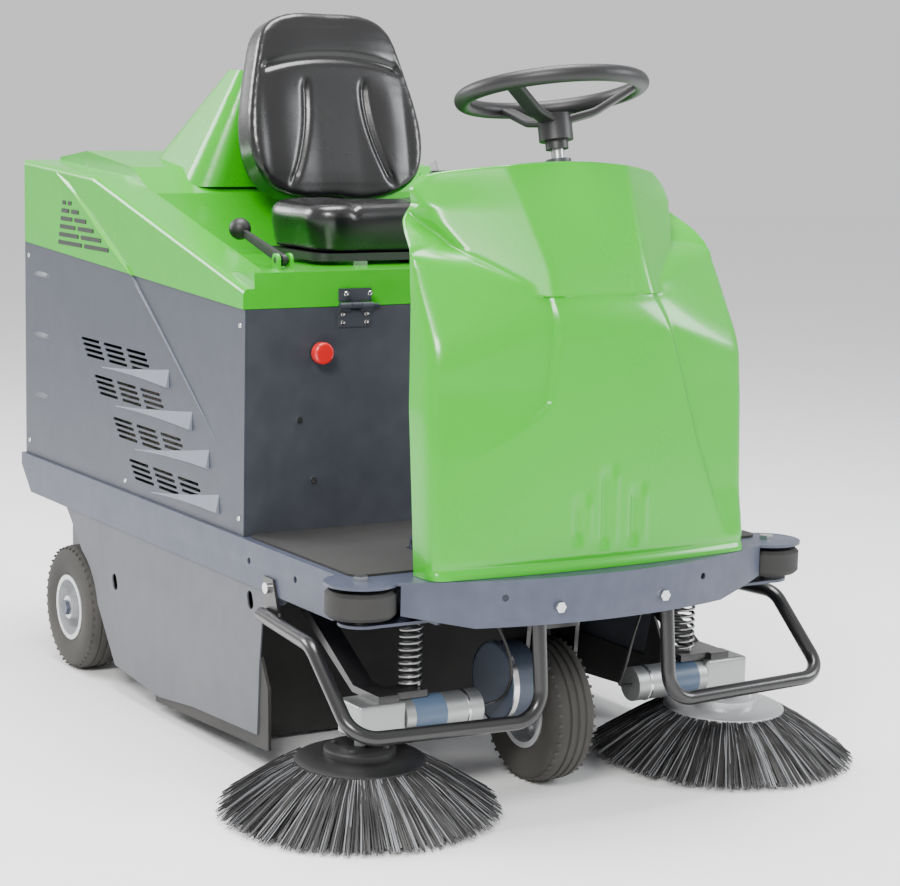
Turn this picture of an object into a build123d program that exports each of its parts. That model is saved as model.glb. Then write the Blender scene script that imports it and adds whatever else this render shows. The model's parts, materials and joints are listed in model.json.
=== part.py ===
import os
from math import atan2, cos, degrees, radians, sin, sqrt, tan

from build123d import *

os.makedirs("parts", exist_ok=True)

# Ride-on sweeper. x points to the machine's left, y to its rear, z up. Millimetres.
# The origin is on the floor, under the middle of the whole machine.
sides = {"right": -1, "left": 1}

# chassis: a sheet deck with a folded rim, a curved nose and a round ear over each corner roller
deck_z = 420
deck_sheet = 5
rim_sheet = 4
rim_height = 80
chassis_half = 440
chassis_rear = 845
nose_y = -775
nose_radius = 920
ear_radius = 62
roller_x = 424
roller_y = -650
roller_radius = 60
roller_height = 46
roller_z = 384
roller_gap = 8

# housing over the deck
body_half = 432
body_front = -229
body_rear = 837
panel_sheet = 3
seam_front_z = 829
seam_rear_z = 878
seam_gap = 1
hood_half = 436
hood_wall = 4
seat_deck_z = 890

# wheels
wheel_radius = 130
wheel_width = 85
rim_radius = 68
rear_wheel_x = 404.5
rear_wheel_y = 571
front_wheel_y = -551
axle_radius = 10
running_gap = 0.05
side_gap = 0.5

# steering
wheel_centre_y = -540
wheel_centre_z = 1222
column_tilt = 13.1
handwheel_radius = 155
handwheel_grip = 14.5
shaft_radius = 11
column_radius = 22
coupling_z = 700
lower_shaft_radius = 10
pivot_radius = 20
small_sprocket = 26
large_sprocket = 65
chain_thickness = 6
sprocket_z = 386
sprocket_thickness = 8

# side brushes
brush_x = 386
brush_y = -588
brush_radius = 250
brush_hub_radius = 62
brush_hub_z = 112
brush_lift = 1.0
lean_out = 0.013
lean_front = 0.026
arm_pivot_y = -300
arm_pivot_z = 330
arm_pin_radius = 8
arm_x = 350
arm_width = 40
motor_y = -600
motor_z = 166
motor_radius = 31
motor_end_x = 165
gearbox_x = 318
gearbox_outer_x = 410
spring_x = 290
spring_radius = 21
guard_tube = 12.5

# main brush and hopper
main_brush_y = 60
main_brush_radius = 130
main_brush_half = 350
main_core_radius = 45
hopper_half = 330
hopper_front = 215
hopper_rear = 825
hopper_floor = 45
hopper_top = 380
hopper_wall = 4

# skirts and rubber
skirt_sheet = 3
flap_sheet = 6

# seat
seat_half = 222
seat_front = -92
cushion_rear = 168
cushion_bottom = 916
cushion_top = 1002
back_lean = 13.6

tilt_vector = Vector(0, sin(radians(column_tilt)), cos(radians(column_tilt)))
column_top = Vector(0, wheel_centre_y, wheel_centre_z)
coupling_drop = (wheel_centre_z - coupling_z) / cos(radians(column_tilt))
coupling = column_top - tilt_vector * coupling_drop
lower_shaft_y = coupling.Y


def side_plane(x):
    """A plane across the machine at x whose own x is the machine's y and whose own y is z."""
    return Plane(origin=(x, 0, 0), x_dir=(0, 1, 0), z_dir=(1, 0, 0))


def front_plane(y):
    """A plane at y that looks forward, whose own x is the machine's x and whose own y is z."""
    return Plane(origin=(0, y, 0), x_dir=(1, 0, 0), z_dir=(0, -1, 0))


def column_plane(distance):
    """A plane square to the steering column, at a distance below the hand wheel's middle."""
    return Plane(origin=column_top - tilt_vector * distance, x_dir=(1, 0, 0), z_dir=tilt_vector)


def brush_plane(side):
    """The floor plane of a side brush, leaning outwards and forwards about the brush's middle."""
    normal = Vector(sides[side] * lean_out, -lean_front, 1)
    lowest = brush_radius * sqrt(lean_out**2 + lean_front**2)
    origin = Vector(sides[side] * brush_x, brush_y, brush_lift + lowest)
    return Plane(origin=origin, x_dir=(1, 0, -sides[side] * lean_out), z_dir=normal)


# ---------------------------------------------------------------- chassis
nose_centre_y = nose_y + nose_radius


def nose_at(x, inset=0):
    return nose_centre_y - sqrt((nose_radius - inset) ** 2 - x**2)


def deck_outline(inset):
    half = chassis_half - inset
    corner_y = nose_at(half, inset)
    with BuildSketch() as outline:
        with BuildLine():
            Polyline(
                (half, corner_y),
                (half, chassis_rear - inset),
                (-half, chassis_rear - inset),
                (-half, corner_y),
            )
            ThreePointArc((-half, corner_y), (0, nose_y + inset), (half, corner_y))
        make_face()
    return outline.sketch


mat_thickness = 4
mat_front = -628
pedal_x = -170
pedal_hinge_y = -470
pedal_hinge_z = deck_z + mat_thickness + 12
pedal_pin = 5
roller_spots = [(-roller_x, roller_y), (roller_x, roller_y)]
rim_top = deck_z - deck_sheet
rim_bottom = deck_z - rim_height
housing_top = 380
housing_bottom = 305
filter_opening = (560, 400)
bracket_plate = 6
nose_cut_start = 250
nose_cut_end = 400
nose_cut_rise = 30
tail_cut = 55
guide_z = hopper_top - side_gap
brush_cheek_right = main_brush_half + 10
cheek_sheet = 6
main_brush_z = main_brush_radius + brush_lift
main_shaft_radius = 12.5
apron_bolt_x = 108
apron_bolt_z = 369
bolt_radius = 6
guard_bolt_y = -353
guard_bolt_z = 324

with BuildPart() as chassis_frame:
    with BuildSketch(Plane.XY.offset(rim_top)):
        add(deck_outline(0))
        with Locations(*roller_spots):
            Circle(ear_radius)
        with Locations((0, hopper_front + 365)):
            Rectangle(*filter_opening, mode=Mode.SUBTRACT)
        with Locations((0, lower_shaft_y)):
            Circle(lower_shaft_radius + 4, mode=Mode.SUBTRACT)
    extrude(amount=deck_sheet)
    # the folded rim, open at the roller corners and behind the hopper
    with BuildSketch(Plane.XY.offset(rim_bottom)):
        add(deck_outline(0))
        add(deck_outline(rim_sheet), mode=Mode.SUBTRACT)
        with Locations(*roller_spots):
            Circle(roller_radius + roller_gap, mode=Mode.SUBTRACT)
    extrude(amount=rim_height - deck_sheet)
    with Locations((0, chassis_rear, rim_bottom)):
        Box(2 * hopper_half + 50, 30, 90, mode=Mode.SUBTRACT)
    with BuildSketch(side_plane(-chassis_half - 1)):
        with BuildLine():
            Polyline(
                (chassis_rear + 1, rim_bottom - 1),
                (chassis_rear + 1, rim_bottom + tail_cut),
                (chassis_rear - tail_cut, rim_bottom - 1),
                close=True,
            )
        make_face()
    extrude(amount=2 * chassis_half + 2, mode=Mode.SUBTRACT)
    with BuildSketch(front_plane(roller_y + 10)):
        for way in sides.values():
            with BuildLine():
                Polyline(
                    (way * nose_cut_start, rim_bottom - 1),
                    (way * nose_cut_end, rim_bottom - 1),
                    (way * nose_cut_end, rim_bottom + nose_cut_rise),
                    close=True,
                )
            make_face()
    extrude(amount=200, mode=Mode.SUBTRACT)
    # lower ears that carry the roller bolts
    with BuildSketch(Plane.XY.offset(roller_z - roller_height / 2 - 15)):
        for way in sides.values():
            with Locations((way * (roller_x - 65), roller_y)):
                Rectangle(130, 76)
            with Locations((way * roller_x, roller_y)):
                Circle(38)
    extrude(amount=5)
    with Locations(*[(x, y, roller_z) for x, y in roller_spots]):
        Hole(arm_pin_radius)
    for way in sides.values():
        with Locations((way * (roller_x - 127), roller_y, (rim_top + rim_bottom) / 2)):
            Box(6, 76, rim_height - deck_sheet)
    # cross plate and bearing housing of the front fork
    with Locations((0, front_wheel_y, housing_top - bracket_plate / 2)):
        Box(2 * (chassis_half - rim_sheet), 120, bracket_plate)
    for way in sides.values():
        for y in (front_wheel_y - 57, front_wheel_y + 57):
            with Locations((way * 270, y, (rim_bottom + rim_top) / 2)):
                Box(2 * (chassis_half - rim_sheet - 270), bracket_plate, rim_height - deck_sheet)
    with Locations(*[(x, y, roller_z) for x, y in roller_spots]):
        Cylinder(roller_radius + roller_gap, roller_height + 12, mode=Mode.SUBTRACT)
    # the lifting springs reach the deck through the cross plate
    with Locations((-spring_x, brush_y, rim_top - 40), (spring_x, brush_y, rim_top - 40)):
        Cylinder(spring_radius + 5, 80, mode=Mode.SUBTRACT)
    with BuildSketch(Plane.XY.offset(housing_bottom)):
        with Locations((0, front_wheel_y)):
            Circle(32)
    extrude(amount=housing_top - housing_bottom)
    with BuildSketch(Plane.XY.offset(housing_bottom)):
        with Locations((0, front_wheel_y)):
            Circle(pivot_radius + running_gap)
    extrude(amount=housing_top - housing_bottom, mode=Mode.SUBTRACT)
    # forks and pins that the side brush arms swing on
    for way in sides.values():
        for x in (arm_x - 42, arm_x + 42):
            with BuildSketch(side_plane(way * x - 3)):
                with Locations((arm_pivot_y, (arm_pivot_z + rim_top) / 2)):
                    Rectangle(50, rim_top - arm_pivot_z)
                with Locations((arm_pivot_y, arm_pivot_z)):
                    Circle(25)
            extrude(amount=6)
        with Locations((way * arm_x, arm_pivot_y, arm_pivot_z)):
            Cylinder(arm_pin_radius, 90, rotation=(0, 90, 0))
    # cheek plates with the main brush's bearing bores
    for x in (-brush_cheek_right - cheek_sheet, brush_cheek_right):
        with BuildSketch(side_plane(x)):
            with Locations((main_brush_y, (main_brush_z + rim_top) / 2)):
                Rectangle(90, rim_top - main_brush_z)
            with Locations((main_brush_y, main_brush_z)):
                Circle(45)
                Circle(main_shaft_radius + running_gap, mode=Mode.SUBTRACT)
        extrude(amount=cheek_sheet)
    # rails that the hopper hangs from
    for way in sides.values():
        with Locations((way * (hopper_half + 7), (hopper_front + hopper_rear) / 2, guide_z - 3)):
            Box(10, hopper_rear - hopper_front, 6)
        with Locations((way * (hopper_half + 15), (hopper_front + hopper_rear) / 2, (guide_z - 6 + rim_top) / 2)):
            Box(6, hopper_rear - hopper_front, rim_top - guide_z + 6)
    # ears of the drive pedal
    for x in (pedal_x - 48, pedal_x + 48):
        with BuildSketch(side_plane(x - 3)):
            with Locations((pedal_hinge_y, (pedal_hinge_z + deck_z) / 2)):
                Rectangle(24, pedal_hinge_z - deck_z)
            with Locations((pedal_hinge_y, pedal_hinge_z)):
                Circle(12)
                Circle(pedal_pin + running_gap, mode=Mode.SUBTRACT)
        extrude(amount=6)
    # bolt holes through the nose and the side rims
    for way in sides.values():
        with Locations((way * apron_bolt_x, nose_y, apron_bolt_z)):
            Cylinder(bolt_radius, 40, rotation=(90, 0, 0), mode=Mode.SUBTRACT)
        with Locations((way * 205, nose_y + 20, apron_bolt_z + 21)):
            Cylinder(bolt_radius, 60, rotation=(90, 0, 0), mode=Mode.SUBTRACT)
        for y in (-268, -447):
            with Locations((way * chassis_half, y, 384)):
                Cylinder(bolt_radius, 20, rotation=(0, 90, 0), mode=Mode.SUBTRACT)
chassis_frame.part.label = "chassis_frame"
export_step(chassis_frame.part, "parts/chassis_frame.step")

# ---------------------------------------------------------------- foot plate and corner rollers
with BuildPart() as floor_mat:
    with BuildSketch(Plane.XY.offset(deck_z)):
        with Locations((0, (body_front + mat_front) / 2)):
            RectangleRounded(2 * chassis_half - 30, body_front - mat_front - 2, 25)
        with Locations((pedal_x, pedal_hinge_y)):
            Rectangle(110, 34, mode=Mode.SUBTRACT)
    extrude(amount=mat_thickness)
floor_mat.part.label = "floor_mat"
export_step(floor_mat.part, "parts/floor_mat.step")

roller_bore = arm_pin_radius + running_gap
for side, way in sides.items():
    with BuildPart() as roller:
        with BuildSketch(side_plane(way * roller_x)):
            with BuildLine():
                Polyline(
                    (roller_y + roller_bore, roller_z - roller_height / 2),
                    (roller_y + roller_radius - 6, roller_z - roller_height / 2),
                    (roller_y + roller_radius, roller_z - roller_height / 2 + 6),
                    (roller_y + roller_radius, roller_z + roller_height / 2 - 6),
                    (roller_y + roller_radius - 6, roller_z + roller_height / 2),
                    (roller_y + roller_bore, roller_z + roller_height / 2),
                    close=True,
                )
            make_face()
        revolve(axis=Axis((way * roller_x, roller_y, 0), (0, 0, 1)))
    roller.part.label = f"corner_roller_{side}"
    export_step(roller.part, f"parts/corner_roller_{side}.step")

# ---------------------------------------------------------------- guards of the side brushes
tube_paths = {
    side: [
        Vector(way * (chassis_half + guard_tube + 1), guard_bolt_y + 8, 304),
        Vector(way * 489, -601, 306),
        Vector(way * 488, -750, 180),
        Vector(way * 133, -762, 175),
        Vector(way * 133, -738, rim_top - 4),
    ]
    for side, way in sides.items()
}
tube_bends = [60, 50, 50]
tab_sheet = 5
nose_tab_y = nose_at(apron_bolt_x + 32, rim_sheet) + tab_sheet + 1
for side, way in sides.items():
    with BuildPart() as guard:
        with BuildLine() as route:
            FilletPolyline(*tube_paths[side], radius=tube_bends)
        with BuildSketch(Plane(origin=route.line @ 0, z_dir=route.line % 0)):
            Circle(guard_tube)
        sweep()
        # the flat tab at the rear end, bolted under the side rim
        with BuildSketch(side_plane(way * (chassis_half + tab_sheet / 2) - tab_sheet / 2)):
            with BuildLine():
                Polyline(
                    (guard_bolt_y + 18, 290),
                    (guard_bolt_y + 18, rim_bottom + 30),
                    (guard_bolt_y - 18, rim_bottom + 30),
                    (guard_bolt_y - 40, 314),
                    (guard_bolt_y - 40, 290),
                    close=True,
                )
            make_face()
        extrude(amount=tab_sheet)
        with Locations((way * chassis_half, guard_bolt_y, guard_bolt_z + 28)):
            Cylinder(bolt_radius, 30, rotation=(0, 90, 0), mode=Mode.SUBTRACT)
        # the tab at the front end, bolted behind the nose
        with BuildSketch(front_plane(nose_tab_y)):
            with Locations((way * (apron_bolt_x + 10), apron_bolt_z)):
                Rectangle(44, 40)
            with Locations((way * apron_bolt_x, apron_bolt_z)):
                Circle(bolt_radius, mode=Mode.SUBTRACT)
        extrude(amount=tab_sheet)
    guard.part.label = f"guard_{side}"
    export_step(guard.part, f"parts/guard_{side}.step")

# ---------------------------------------------------------------- bolts and screws
# name of the group: bolts that hold the rollers, the guards and the nose, and the panel screws
head_radius = 10
head_height = 6
roller_bolt_low = roller_z - roller_height / 2 - 15
panel_screws = [(322, 626), (292, 514)]
with BuildPart() as fasteners:
    for way in sides.values():
        with BuildSketch(Plane.XY.offset(roller_bolt_low - head_height)):
            with Locations((way * roller_x, roller_y)):
                RegularPolygon(head_radius, 6)
        extrude(amount=head_height)
        with BuildSketch(Plane.XY.offset(roller_bolt_low)):
            with Locations((way * roller_x, roller_y)):
                Circle(arm_pin_radius)
        extrude(amount=deck_z - roller_bolt_low)
        with BuildSketch(Plane.XY.offset(deck_z)):
            with Locations((way * roller_x, roller_y)):
                RegularPolygon(head_radius + 3, 6)
        extrude(amount=head_height + 2)
        # nose bolts
        bolt_y = nose_at(apron_bolt_x - head_radius)
        with BuildSketch(front_plane(bolt_y)):
            with Locations((way * apron_bolt_x, apron_bolt_z)):
                RegularPolygon(head_radius, 6)
        extrude(amount=head_height)
        with BuildSketch(front_plane(bolt_y)):
            with Locations((way * apron_bolt_x, apron_bolt_z)):
                Circle(bolt_radius - 0.1)
        extrude(amount=bolt_y - nose_tab_y)
        # guard bolts through the tab
        for x, reach, radius in (
            (chassis_half + tab_sheet, head_height, head_radius),
            (chassis_half, tab_sheet, bolt_radius - 0.1),
        ):
            with BuildSketch(side_plane(way * x)):
                with Locations((guard_bolt_y, guard_bolt_z + 28)):
                    Circle(radius)
            extrude(amount=way * reach)
        # screws of the front panel
        for x, z in panel_screws:
            with BuildSketch(front_plane(body_front)):
                with Locations((way * x, z)):
                    Circle(6)
            extrude(amount=3)
fasteners.part.label = "fasteners"
export_step(fasteners.part, "parts/fasteners.step")

# ---------------------------------------------------------------- skirts and rubber flaps
wheel_arch = wheel_radius + 12
skirt_outer = chassis_half - rim_sheet
skirt_top = rim_bottom + 32
for side, way in sides.items():
    inner = way * skirt_outer if way < 0 else skirt_outer - skirt_sheet
    with BuildPart() as skirt:
        with BuildSketch(side_plane(inner)):
            with BuildLine():
                Polyline(
                    (640, skirt_top),
                    (-321, skirt_top),
                    (-321, 345),
                    (-304, 201),
                    (-298, 71),
                    (-23, 57),
                    (128, 40),
                    (344, 56),
                    (rear_wheel_y - 90, 224),
                    (rear_wheel_y - 45, 272),
                    (600, 340),
                    (640, 348),
                    close=True,
                )
            make_face()
            with Locations((rear_wheel_y, wheel_radius)):
                Circle(wheel_arch, mode=Mode.SUBTRACT)
            with Locations((344, 227), (-266, 312)):
                SlotOverall(34, 22, rotation=70, mode=Mode.SUBTRACT)
        extrude(amount=skirt_sheet)
    skirt.part.label = f"skirt_{side}"
    export_step(skirt.part, f"parts/skirt_{side}.step")

    flap_outer = skirt_outer - skirt_sheet
    inner = way * flap_outer if way < 0 else flap_outer - flap_sheet
    with BuildPart() as side_flap:
        with BuildSketch(side_plane(inner)):
            with BuildLine():
                Polyline(
                    (150, 120),
                    (150, 26),
                    (-338, 50),
                    (-334, 162),
                    (-304, 215),
                    (-280, 120),
                    close=True,
                )
            make_face()
        extrude(amount=flap_sheet)
    side_flap.part.label = f"side_flap_{side}"
    export_step(side_flap.part, f"parts/side_flap_{side}.step")

front_flap_y = main_brush_y - main_brush_radius - 45
with BuildPart() as front_flap:
    with BuildSketch(front_plane(front_flap_y)):
        with Locations((0, (rim_top + 8) / 2)):
            Rectangle(2 * main_brush_half, rim_top - 8)
    extrude(amount=flap_sheet)
front_flap.part.label = "front_flap"
export_step(front_flap.part, "parts/front_flap.step")

# ---------------------------------------------------------------- rear wheels on stub axles
axle_plate_x = rear_wheel_x - wheel_width / 2 - 9
axle_plate = 8
axle_end = rear_wheel_x + wheel_width / 2 - 14
hub_radius = 24
hub_half = wheel_width / 2 - 2
tyre_shoulder = 16


def tyre_and_rim(centre, names):
    """A tyre on a pressed rim with a bored hub, turning about x."""
    with BuildPart() as tyre:
        with BuildSketch(Plane.XY.offset(centre.Z)):
            with Locations((centre.X, centre.Y + (wheel_radius + rim_radius) / 2)):
                Rectangle(wheel_width, wheel_radius - rim_radius)
        revolve(axis=Axis(centre, (1, 0, 0)))
        fillet(tyre.edges().filter_by(GeomType.CIRCLE).sort_by(SortBy.RADIUS)[-2:], tyre_shoulder)
    tyre.part.label = names[0]
    export_step(tyre.part, f"parts/{names[0]}.step")

    with BuildPart() as rim:
        with BuildSketch(Plane.XY.offset(centre.Z)):
            with Locations((centre.X, centre.Y + rim_radius - 5)):
                Rectangle(wheel_width - 8, 10)
            with Locations((centre.X, centre.Y + rim_radius / 2)):
                Rectangle(12, rim_radius - 8)
            with Locations((centre.X, centre.Y + (hub_radius + axle_radius + running_gap) / 2)):
                Rectangle(2 * hub_half, hub_radius - axle_radius - running_gap)
            with Locations((centre.X, centre.Y)):
                Rectangle(wheel_width, 2 * (axle_radius + running_gap), mode=Mode.SUBTRACT)
        revolve(axis=Axis(centre, (1, 0, 0)))
        with Locations(Location(centre, (0, 90, 0))):
            with PolarLocations(43, 5, start_angle=18):
                Hole(8)
    rim.part.label = names[1]
    export_step(rim.part, f"parts/{names[1]}.step")


for side, way in sides.items():
    middle = Vector(way * rear_wheel_x, rear_wheel_y, wheel_radius)
    tyre_and_rim(middle, (f"rear_tyre_{side}", f"rear_rim_{side}"))
    with BuildPart() as axle_bracket:
        with BuildSketch(side_plane(way * axle_plate_x - axle_plate / 2)):
            with BuildLine():
                Polyline(
                    (rear_wheel_y - 30, wheel_radius - 25),
                    (rear_wheel_y + 30, wheel_radius - 25),
                    (rear_wheel_y + 85, rim_top),
                    (rear_wheel_y - 85, rim_top),
                    close=True,
                )
            make_face()
        extrude(amount=axle_plate)
        with BuildSketch(side_plane(way * axle_plate_x)):
            with Locations((rear_wheel_y, wheel_radius)):
                Circle(axle_radius)
        extrude(amount=way * (axle_end - axle_plate_x))
        # washer and nut outside the hub
        with BuildSketch(side_plane(way * (rear_wheel_x + hub_half + side_gap))):
            with Locations((rear_wheel_y, wheel_radius)):
                Circle(axle_radius)
        extrude(amount=way * 6)
        with BuildSketch(side_plane(way * (rear_wheel_x + hub_half + side_gap))):
            with Locations((rear_wheel_y, wheel_radius)):
                RegularPolygon(16, 6)
        extrude(amount=way * 8)
        with BuildSketch(side_plane(way * axle_end)):
            with Locations((rear_wheel_y, wheel_radius)):
                Circle(axle_radius)
        extrude(amount=way * (rear_wheel_x + hub_half + 2 - axle_end))
    axle_bracket.part.label = f"axle_bracket_{side}"
    export_step(axle_bracket.part, f"parts/axle_bracket_{side}.step")

# ---------------------------------------------------------------- front fork, wheel and drive motor
leg_inner = wheel_width / 2 + 5
leg_sheet = 8
crown_z = wheel_radius * 2 + 25
crown_sheet = 12
fork_top = sprocket_z + sprocket_thickness + 8
tyre_and_rim(Vector(0, front_wheel_y, wheel_radius), ("front_tyre", "front_rim"))
with BuildPart() as front_fork:
    with BuildSketch(Plane.XY.offset(crown_z)):
        with Locations((0, front_wheel_y)):
            RectangleRounded(2 * (leg_inner + leg_sheet), 90, 6)
    extrude(amount=crown_sheet)
    with BuildSketch(Plane.XY.offset(crown_z + crown_sheet)):
        with Locations((0, front_wheel_y)):
            Circle(30)
    extrude(amount=housing_bottom - side_gap - crown_z - crown_sheet)
    with BuildSketch(Plane.XY.offset(crown_z)):
        with Locations((0, front_wheel_y)):
            Circle(pivot_radius)
    extrude(amount=fork_top - crown_z)
    with BuildSketch(Plane.XY.offset(sprocket_z)):
        with Locations((0, front_wheel_y)):
            Circle(large_sprocket)
    extrude(amount=sprocket_thickness)
    for way in sides.values():
        start = way * (leg_inner + leg_sheet / 2) - leg_sheet / 2
        with BuildSketch(side_plane(start)):
            with BuildLine():
                Polyline(
                    (front_wheel_y - 28, wheel_radius),
                    (front_wheel_y + 28, wheel_radius),
                    (front_wheel_y + 42, crown_z + crown_sheet / 2),
                    (front_wheel_y - 42, crown_z + crown_sheet / 2),
                    close=True,
                )
            make_face()
            with Locations((front_wheel_y, wheel_radius)):
                Circle(28)
        extrude(amount=leg_sheet)
    with BuildSketch(side_plane(-leg_inner)):
        with Locations((front_wheel_y, wheel_radius)):
            Circle(axle_radius)
    extrude(amount=2 * leg_inner)
front_fork.part.label = "front_fork"
export_step(front_fork.part, "parts/front_fork.step")

drive_y = -584
drive_z = 199
drive_radius = 70
gear_case = 12
drive_length = 52
leg_face = leg_inner + leg_sheet
with BuildPart() as drive_motor:
    with BuildSketch(side_plane(-leg_face)):
        with Locations((drive_y, drive_z)):
            Circle(44)
        with Locations((front_wheel_y, wheel_radius)):
            Circle(34)
        make_hull()
    extrude(amount=-gear_case)
    with BuildSketch(side_plane(-leg_face - gear_case)):
        with Locations((drive_y, drive_z)):
            Circle(drive_radius)
    extrude(amount=-drive_length)
    fillet(drive_motor.faces().sort_by(Axis.X)[0].edges(), 5)
drive_motor.part.label = "drive_motor"
export_step(drive_motor.part, "parts/drive_motor.step")

# ---------------------------------------------------------------- steering column, shafts and chain
ball_radius = 15
ball_gap = 0.4
cup_radius = 22
with BuildPart() as steering_shaft:
    with BuildSketch(column_plane(coupling_drop)):
        Circle(shaft_radius - 3)
    extrude(amount=60)
    with BuildSketch(column_plane(coupling_drop - 50)):
        Circle(shaft_radius)
    extrude(amount=coupling_drop - 50 - 46)
    with Locations(coupling):
        Sphere(ball_radius)
steering_shaft.part.label = "steering_shaft"
export_step(steering_shaft.part, "parts/steering_shaft.step")

with BuildPart() as lower_shaft:
    with BuildSketch(Plane.XY.offset(sprocket_z)):
        with Locations((0, lower_shaft_y)):
            Circle(lower_shaft_radius)
    extrude(amount=coupling_z - sprocket_z - ball_radius - 2)
    with BuildSketch(Plane.XY.offset(sprocket_z)):
        with Locations((0, lower_shaft_y)):
            Circle(small_sprocket)
    extrude(amount=sprocket_thickness)
    with Locations(coupling):
        Sphere(cup_radius)
        Sphere(ball_radius + ball_gap, mode=Mode.SUBTRACT)
    with Locations(coupling + Vector(0, 0, 6 + cup_radius / 2)):
        Box(3 * cup_radius, 3 * cup_radius, cup_radius, mode=Mode.SUBTRACT)
lower_shaft.part.label = "lower_shaft"
export_step(lower_shaft.part, "parts/lower_shaft.step")

chain_clearance = 0.5
with BuildPart() as steering_chain:
    with BuildSketch(Plane.XY.offset(sprocket_z + 1)) as chain_outer:
        with Locations((0, lower_shaft_y)):
            Circle(small_sprocket + chain_clearance + chain_thickness)
        with Locations((0, front_wheel_y)):
            Circle(large_sprocket + chain_clearance + chain_thickness)
        make_hull()
    extrude(amount=sprocket_thickness - 2)
    with BuildSketch(Plane.XY.offset(sprocket_z + 1)) as chain_inner:
        with Locations((0, lower_shaft_y)):
            Circle(small_sprocket + chain_clearance)
        with Locations((0, front_wheel_y)):
            Circle(large_sprocket + chain_clearance)
        make_hull()
    extrude(amount=sprocket_thickness - 2, mode=Mode.SUBTRACT)
steering_chain.part.label = "steering_chain"
export_step(steering_chain.part, "parts/steering_chain.step")

column_start = 118
column_end = 360
post_x = 45
post_sheet = 5
with BuildPart() as steering_column:
    with BuildSketch(column_plane(column_end)):
        Circle(column_radius)
    extrude(amount=column_end - column_start)
    # the post: two cheeks on a foot, joined by a saddle under the tube
    for way in sides.values():
        with BuildSketch(side_plane(way * (post_x - post_sheet / 2) - post_sheet / 2)):
            with BuildLine():
                Polyline(
                    (lower_shaft_y - 30, deck_z),
                    (lower_shaft_y + 30, deck_z),
                    (lower_shaft_y + 55, 915),
                    (lower_shaft_y - 5, 915),
                    close=True,
                )
            make_face()
        extrude(amount=post_sheet)
    with BuildSketch(column_plane(column_end)):
        Rectangle(2 * post_x - 4, 40)
    extrude(amount=30)
    with BuildSketch(Plane.XY.offset(deck_z)):
        with Locations((0, lower_shaft_y)):
            Rectangle(2 * post_x, 60)
    extrude(amount=8)
    with BuildSketch(column_plane(column_end + 5)):
        Circle(shaft_radius + running_gap)
    extrude(amount=column_end, mode=Mode.SUBTRACT)
    with Locations((0, lower_shaft_y, deck_z + 4)):
        Cylinder(lower_shaft_radius + running_gap, 20, mode=Mode.SUBTRACT)
steering_column.part.label = "steering_column"
export_step(steering_column.part, "parts/steering_column.step")

# hand wheel: a grip ring, three dished spokes and a hub that clamps on the shaft
hub_top = 40
hub_bottom = 100
with BuildPart() as steering_wheel:
    with BuildSketch(Plane(origin=column_top, x_dir=tilt_vector, z_dir=(1, 0, 0))):
        with Locations((0, handwheel_radius)):
            Circle(handwheel_grip)
    revolve(axis=Axis(column_top, tilt_vector))
    with BuildSketch(column_plane(hub_top + 45)):
        Circle(30)
    extrude(amount=45)
    with BuildSketch(column_plane(hub_bottom)):
        Circle(20)
    extrude(amount=20)
    for angle in (90, 210, 330):
        direction = column_plane(0).x_dir.rotate(Axis((0, 0, 0), tilt_vector), angle)
        inner_end = column_top - tilt_vector * (hub_top + 12) + direction * 15
        knee = column_top - tilt_vector * (hub_top + 2) + direction * 70
        outer_end = column_top + direction * (handwheel_radius - 3)
        with BuildLine() as spoke:
            FilletPolyline(inner_end, knee, outer_end, radius=60)
        with BuildSketch(Plane(origin=inner_end, x_dir=tilt_vector.cross(direction), z_dir=spoke.line % 0)):
            RectangleRounded(30, 12, 5)
        sweep()
    with BuildSketch(column_plane(hub_bottom + 1)):
        Circle(shaft_radius)
    extrude(amount=hub_bottom - 44, mode=Mode.SUBTRACT)
steering_wheel.part.label = "steering_wheel"
export_step(steering_wheel.part, "parts/steering_wheel.step")

# ---------------------------------------------------------------- housing panels
def seam_at(y):
    """Height of the seam between the side panels and the hood."""
    return seam_front_z + (seam_rear_z - seam_front_z) * (y - body_front) / (body_rear - body_front)


# louvre groups: y of the top front slot, z of the top row, columns, rows
slot_length = 92
slot_height = 6
slot_pitch_y = 114
slot_pitch_z = 10.5
slot_rows = 4
slot_columns = 3
row_shift = 9
louvres = [(478, 702), (410, 632), (314, 558), (235, 485)]

for side, way in sides.items():
    inner = way * body_half if way < 0 else body_half - panel_sheet
    with BuildPart() as side_panel:
        with BuildSketch(side_plane(inner)):
            with BuildLine():
                Polyline(
                    (body_front, deck_z + 0.5),
                    (body_rear, deck_z + 0.5),
                    (body_rear, seam_at(body_rear)),
                    (body_front, seam_at(body_front)),
                    close=True,
                )
            make_face()
            for start, top in louvres:
                for row in range(slot_rows):
                    for column in range(slot_columns):
                        y = start - column * slot_pitch_y - row * row_shift
                        z = top - row * slot_pitch_z
                        with Locations((y, z)):
                            SlotOverall(slot_length, slot_height, mode=Mode.SUBTRACT)
        extrude(amount=panel_sheet)
    side_panel.part.label = f"side_panel_{side}"
    export_step(side_panel.part, f"parts/side_panel_{side}.step")

inside_half = body_half - panel_sheet - side_gap
stop_x = -285
stop_z = 748
stop_bore = 11
with BuildPart() as front_panel:
    with BuildSketch(front_plane(body_front + panel_sheet)):
        with Locations((0, (deck_z + 0.5 + seam_front_z) / 2)):
            Rectangle(2 * inside_half, seam_front_z - deck_z - 0.5)
        with Locations((stop_x, stop_z)):
            Circle(stop_bore, mode=Mode.SUBTRACT)
    extrude(amount=panel_sheet)
front_panel.part.label = "front_panel"
export_step(front_panel.part, "parts/front_panel.step")

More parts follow.
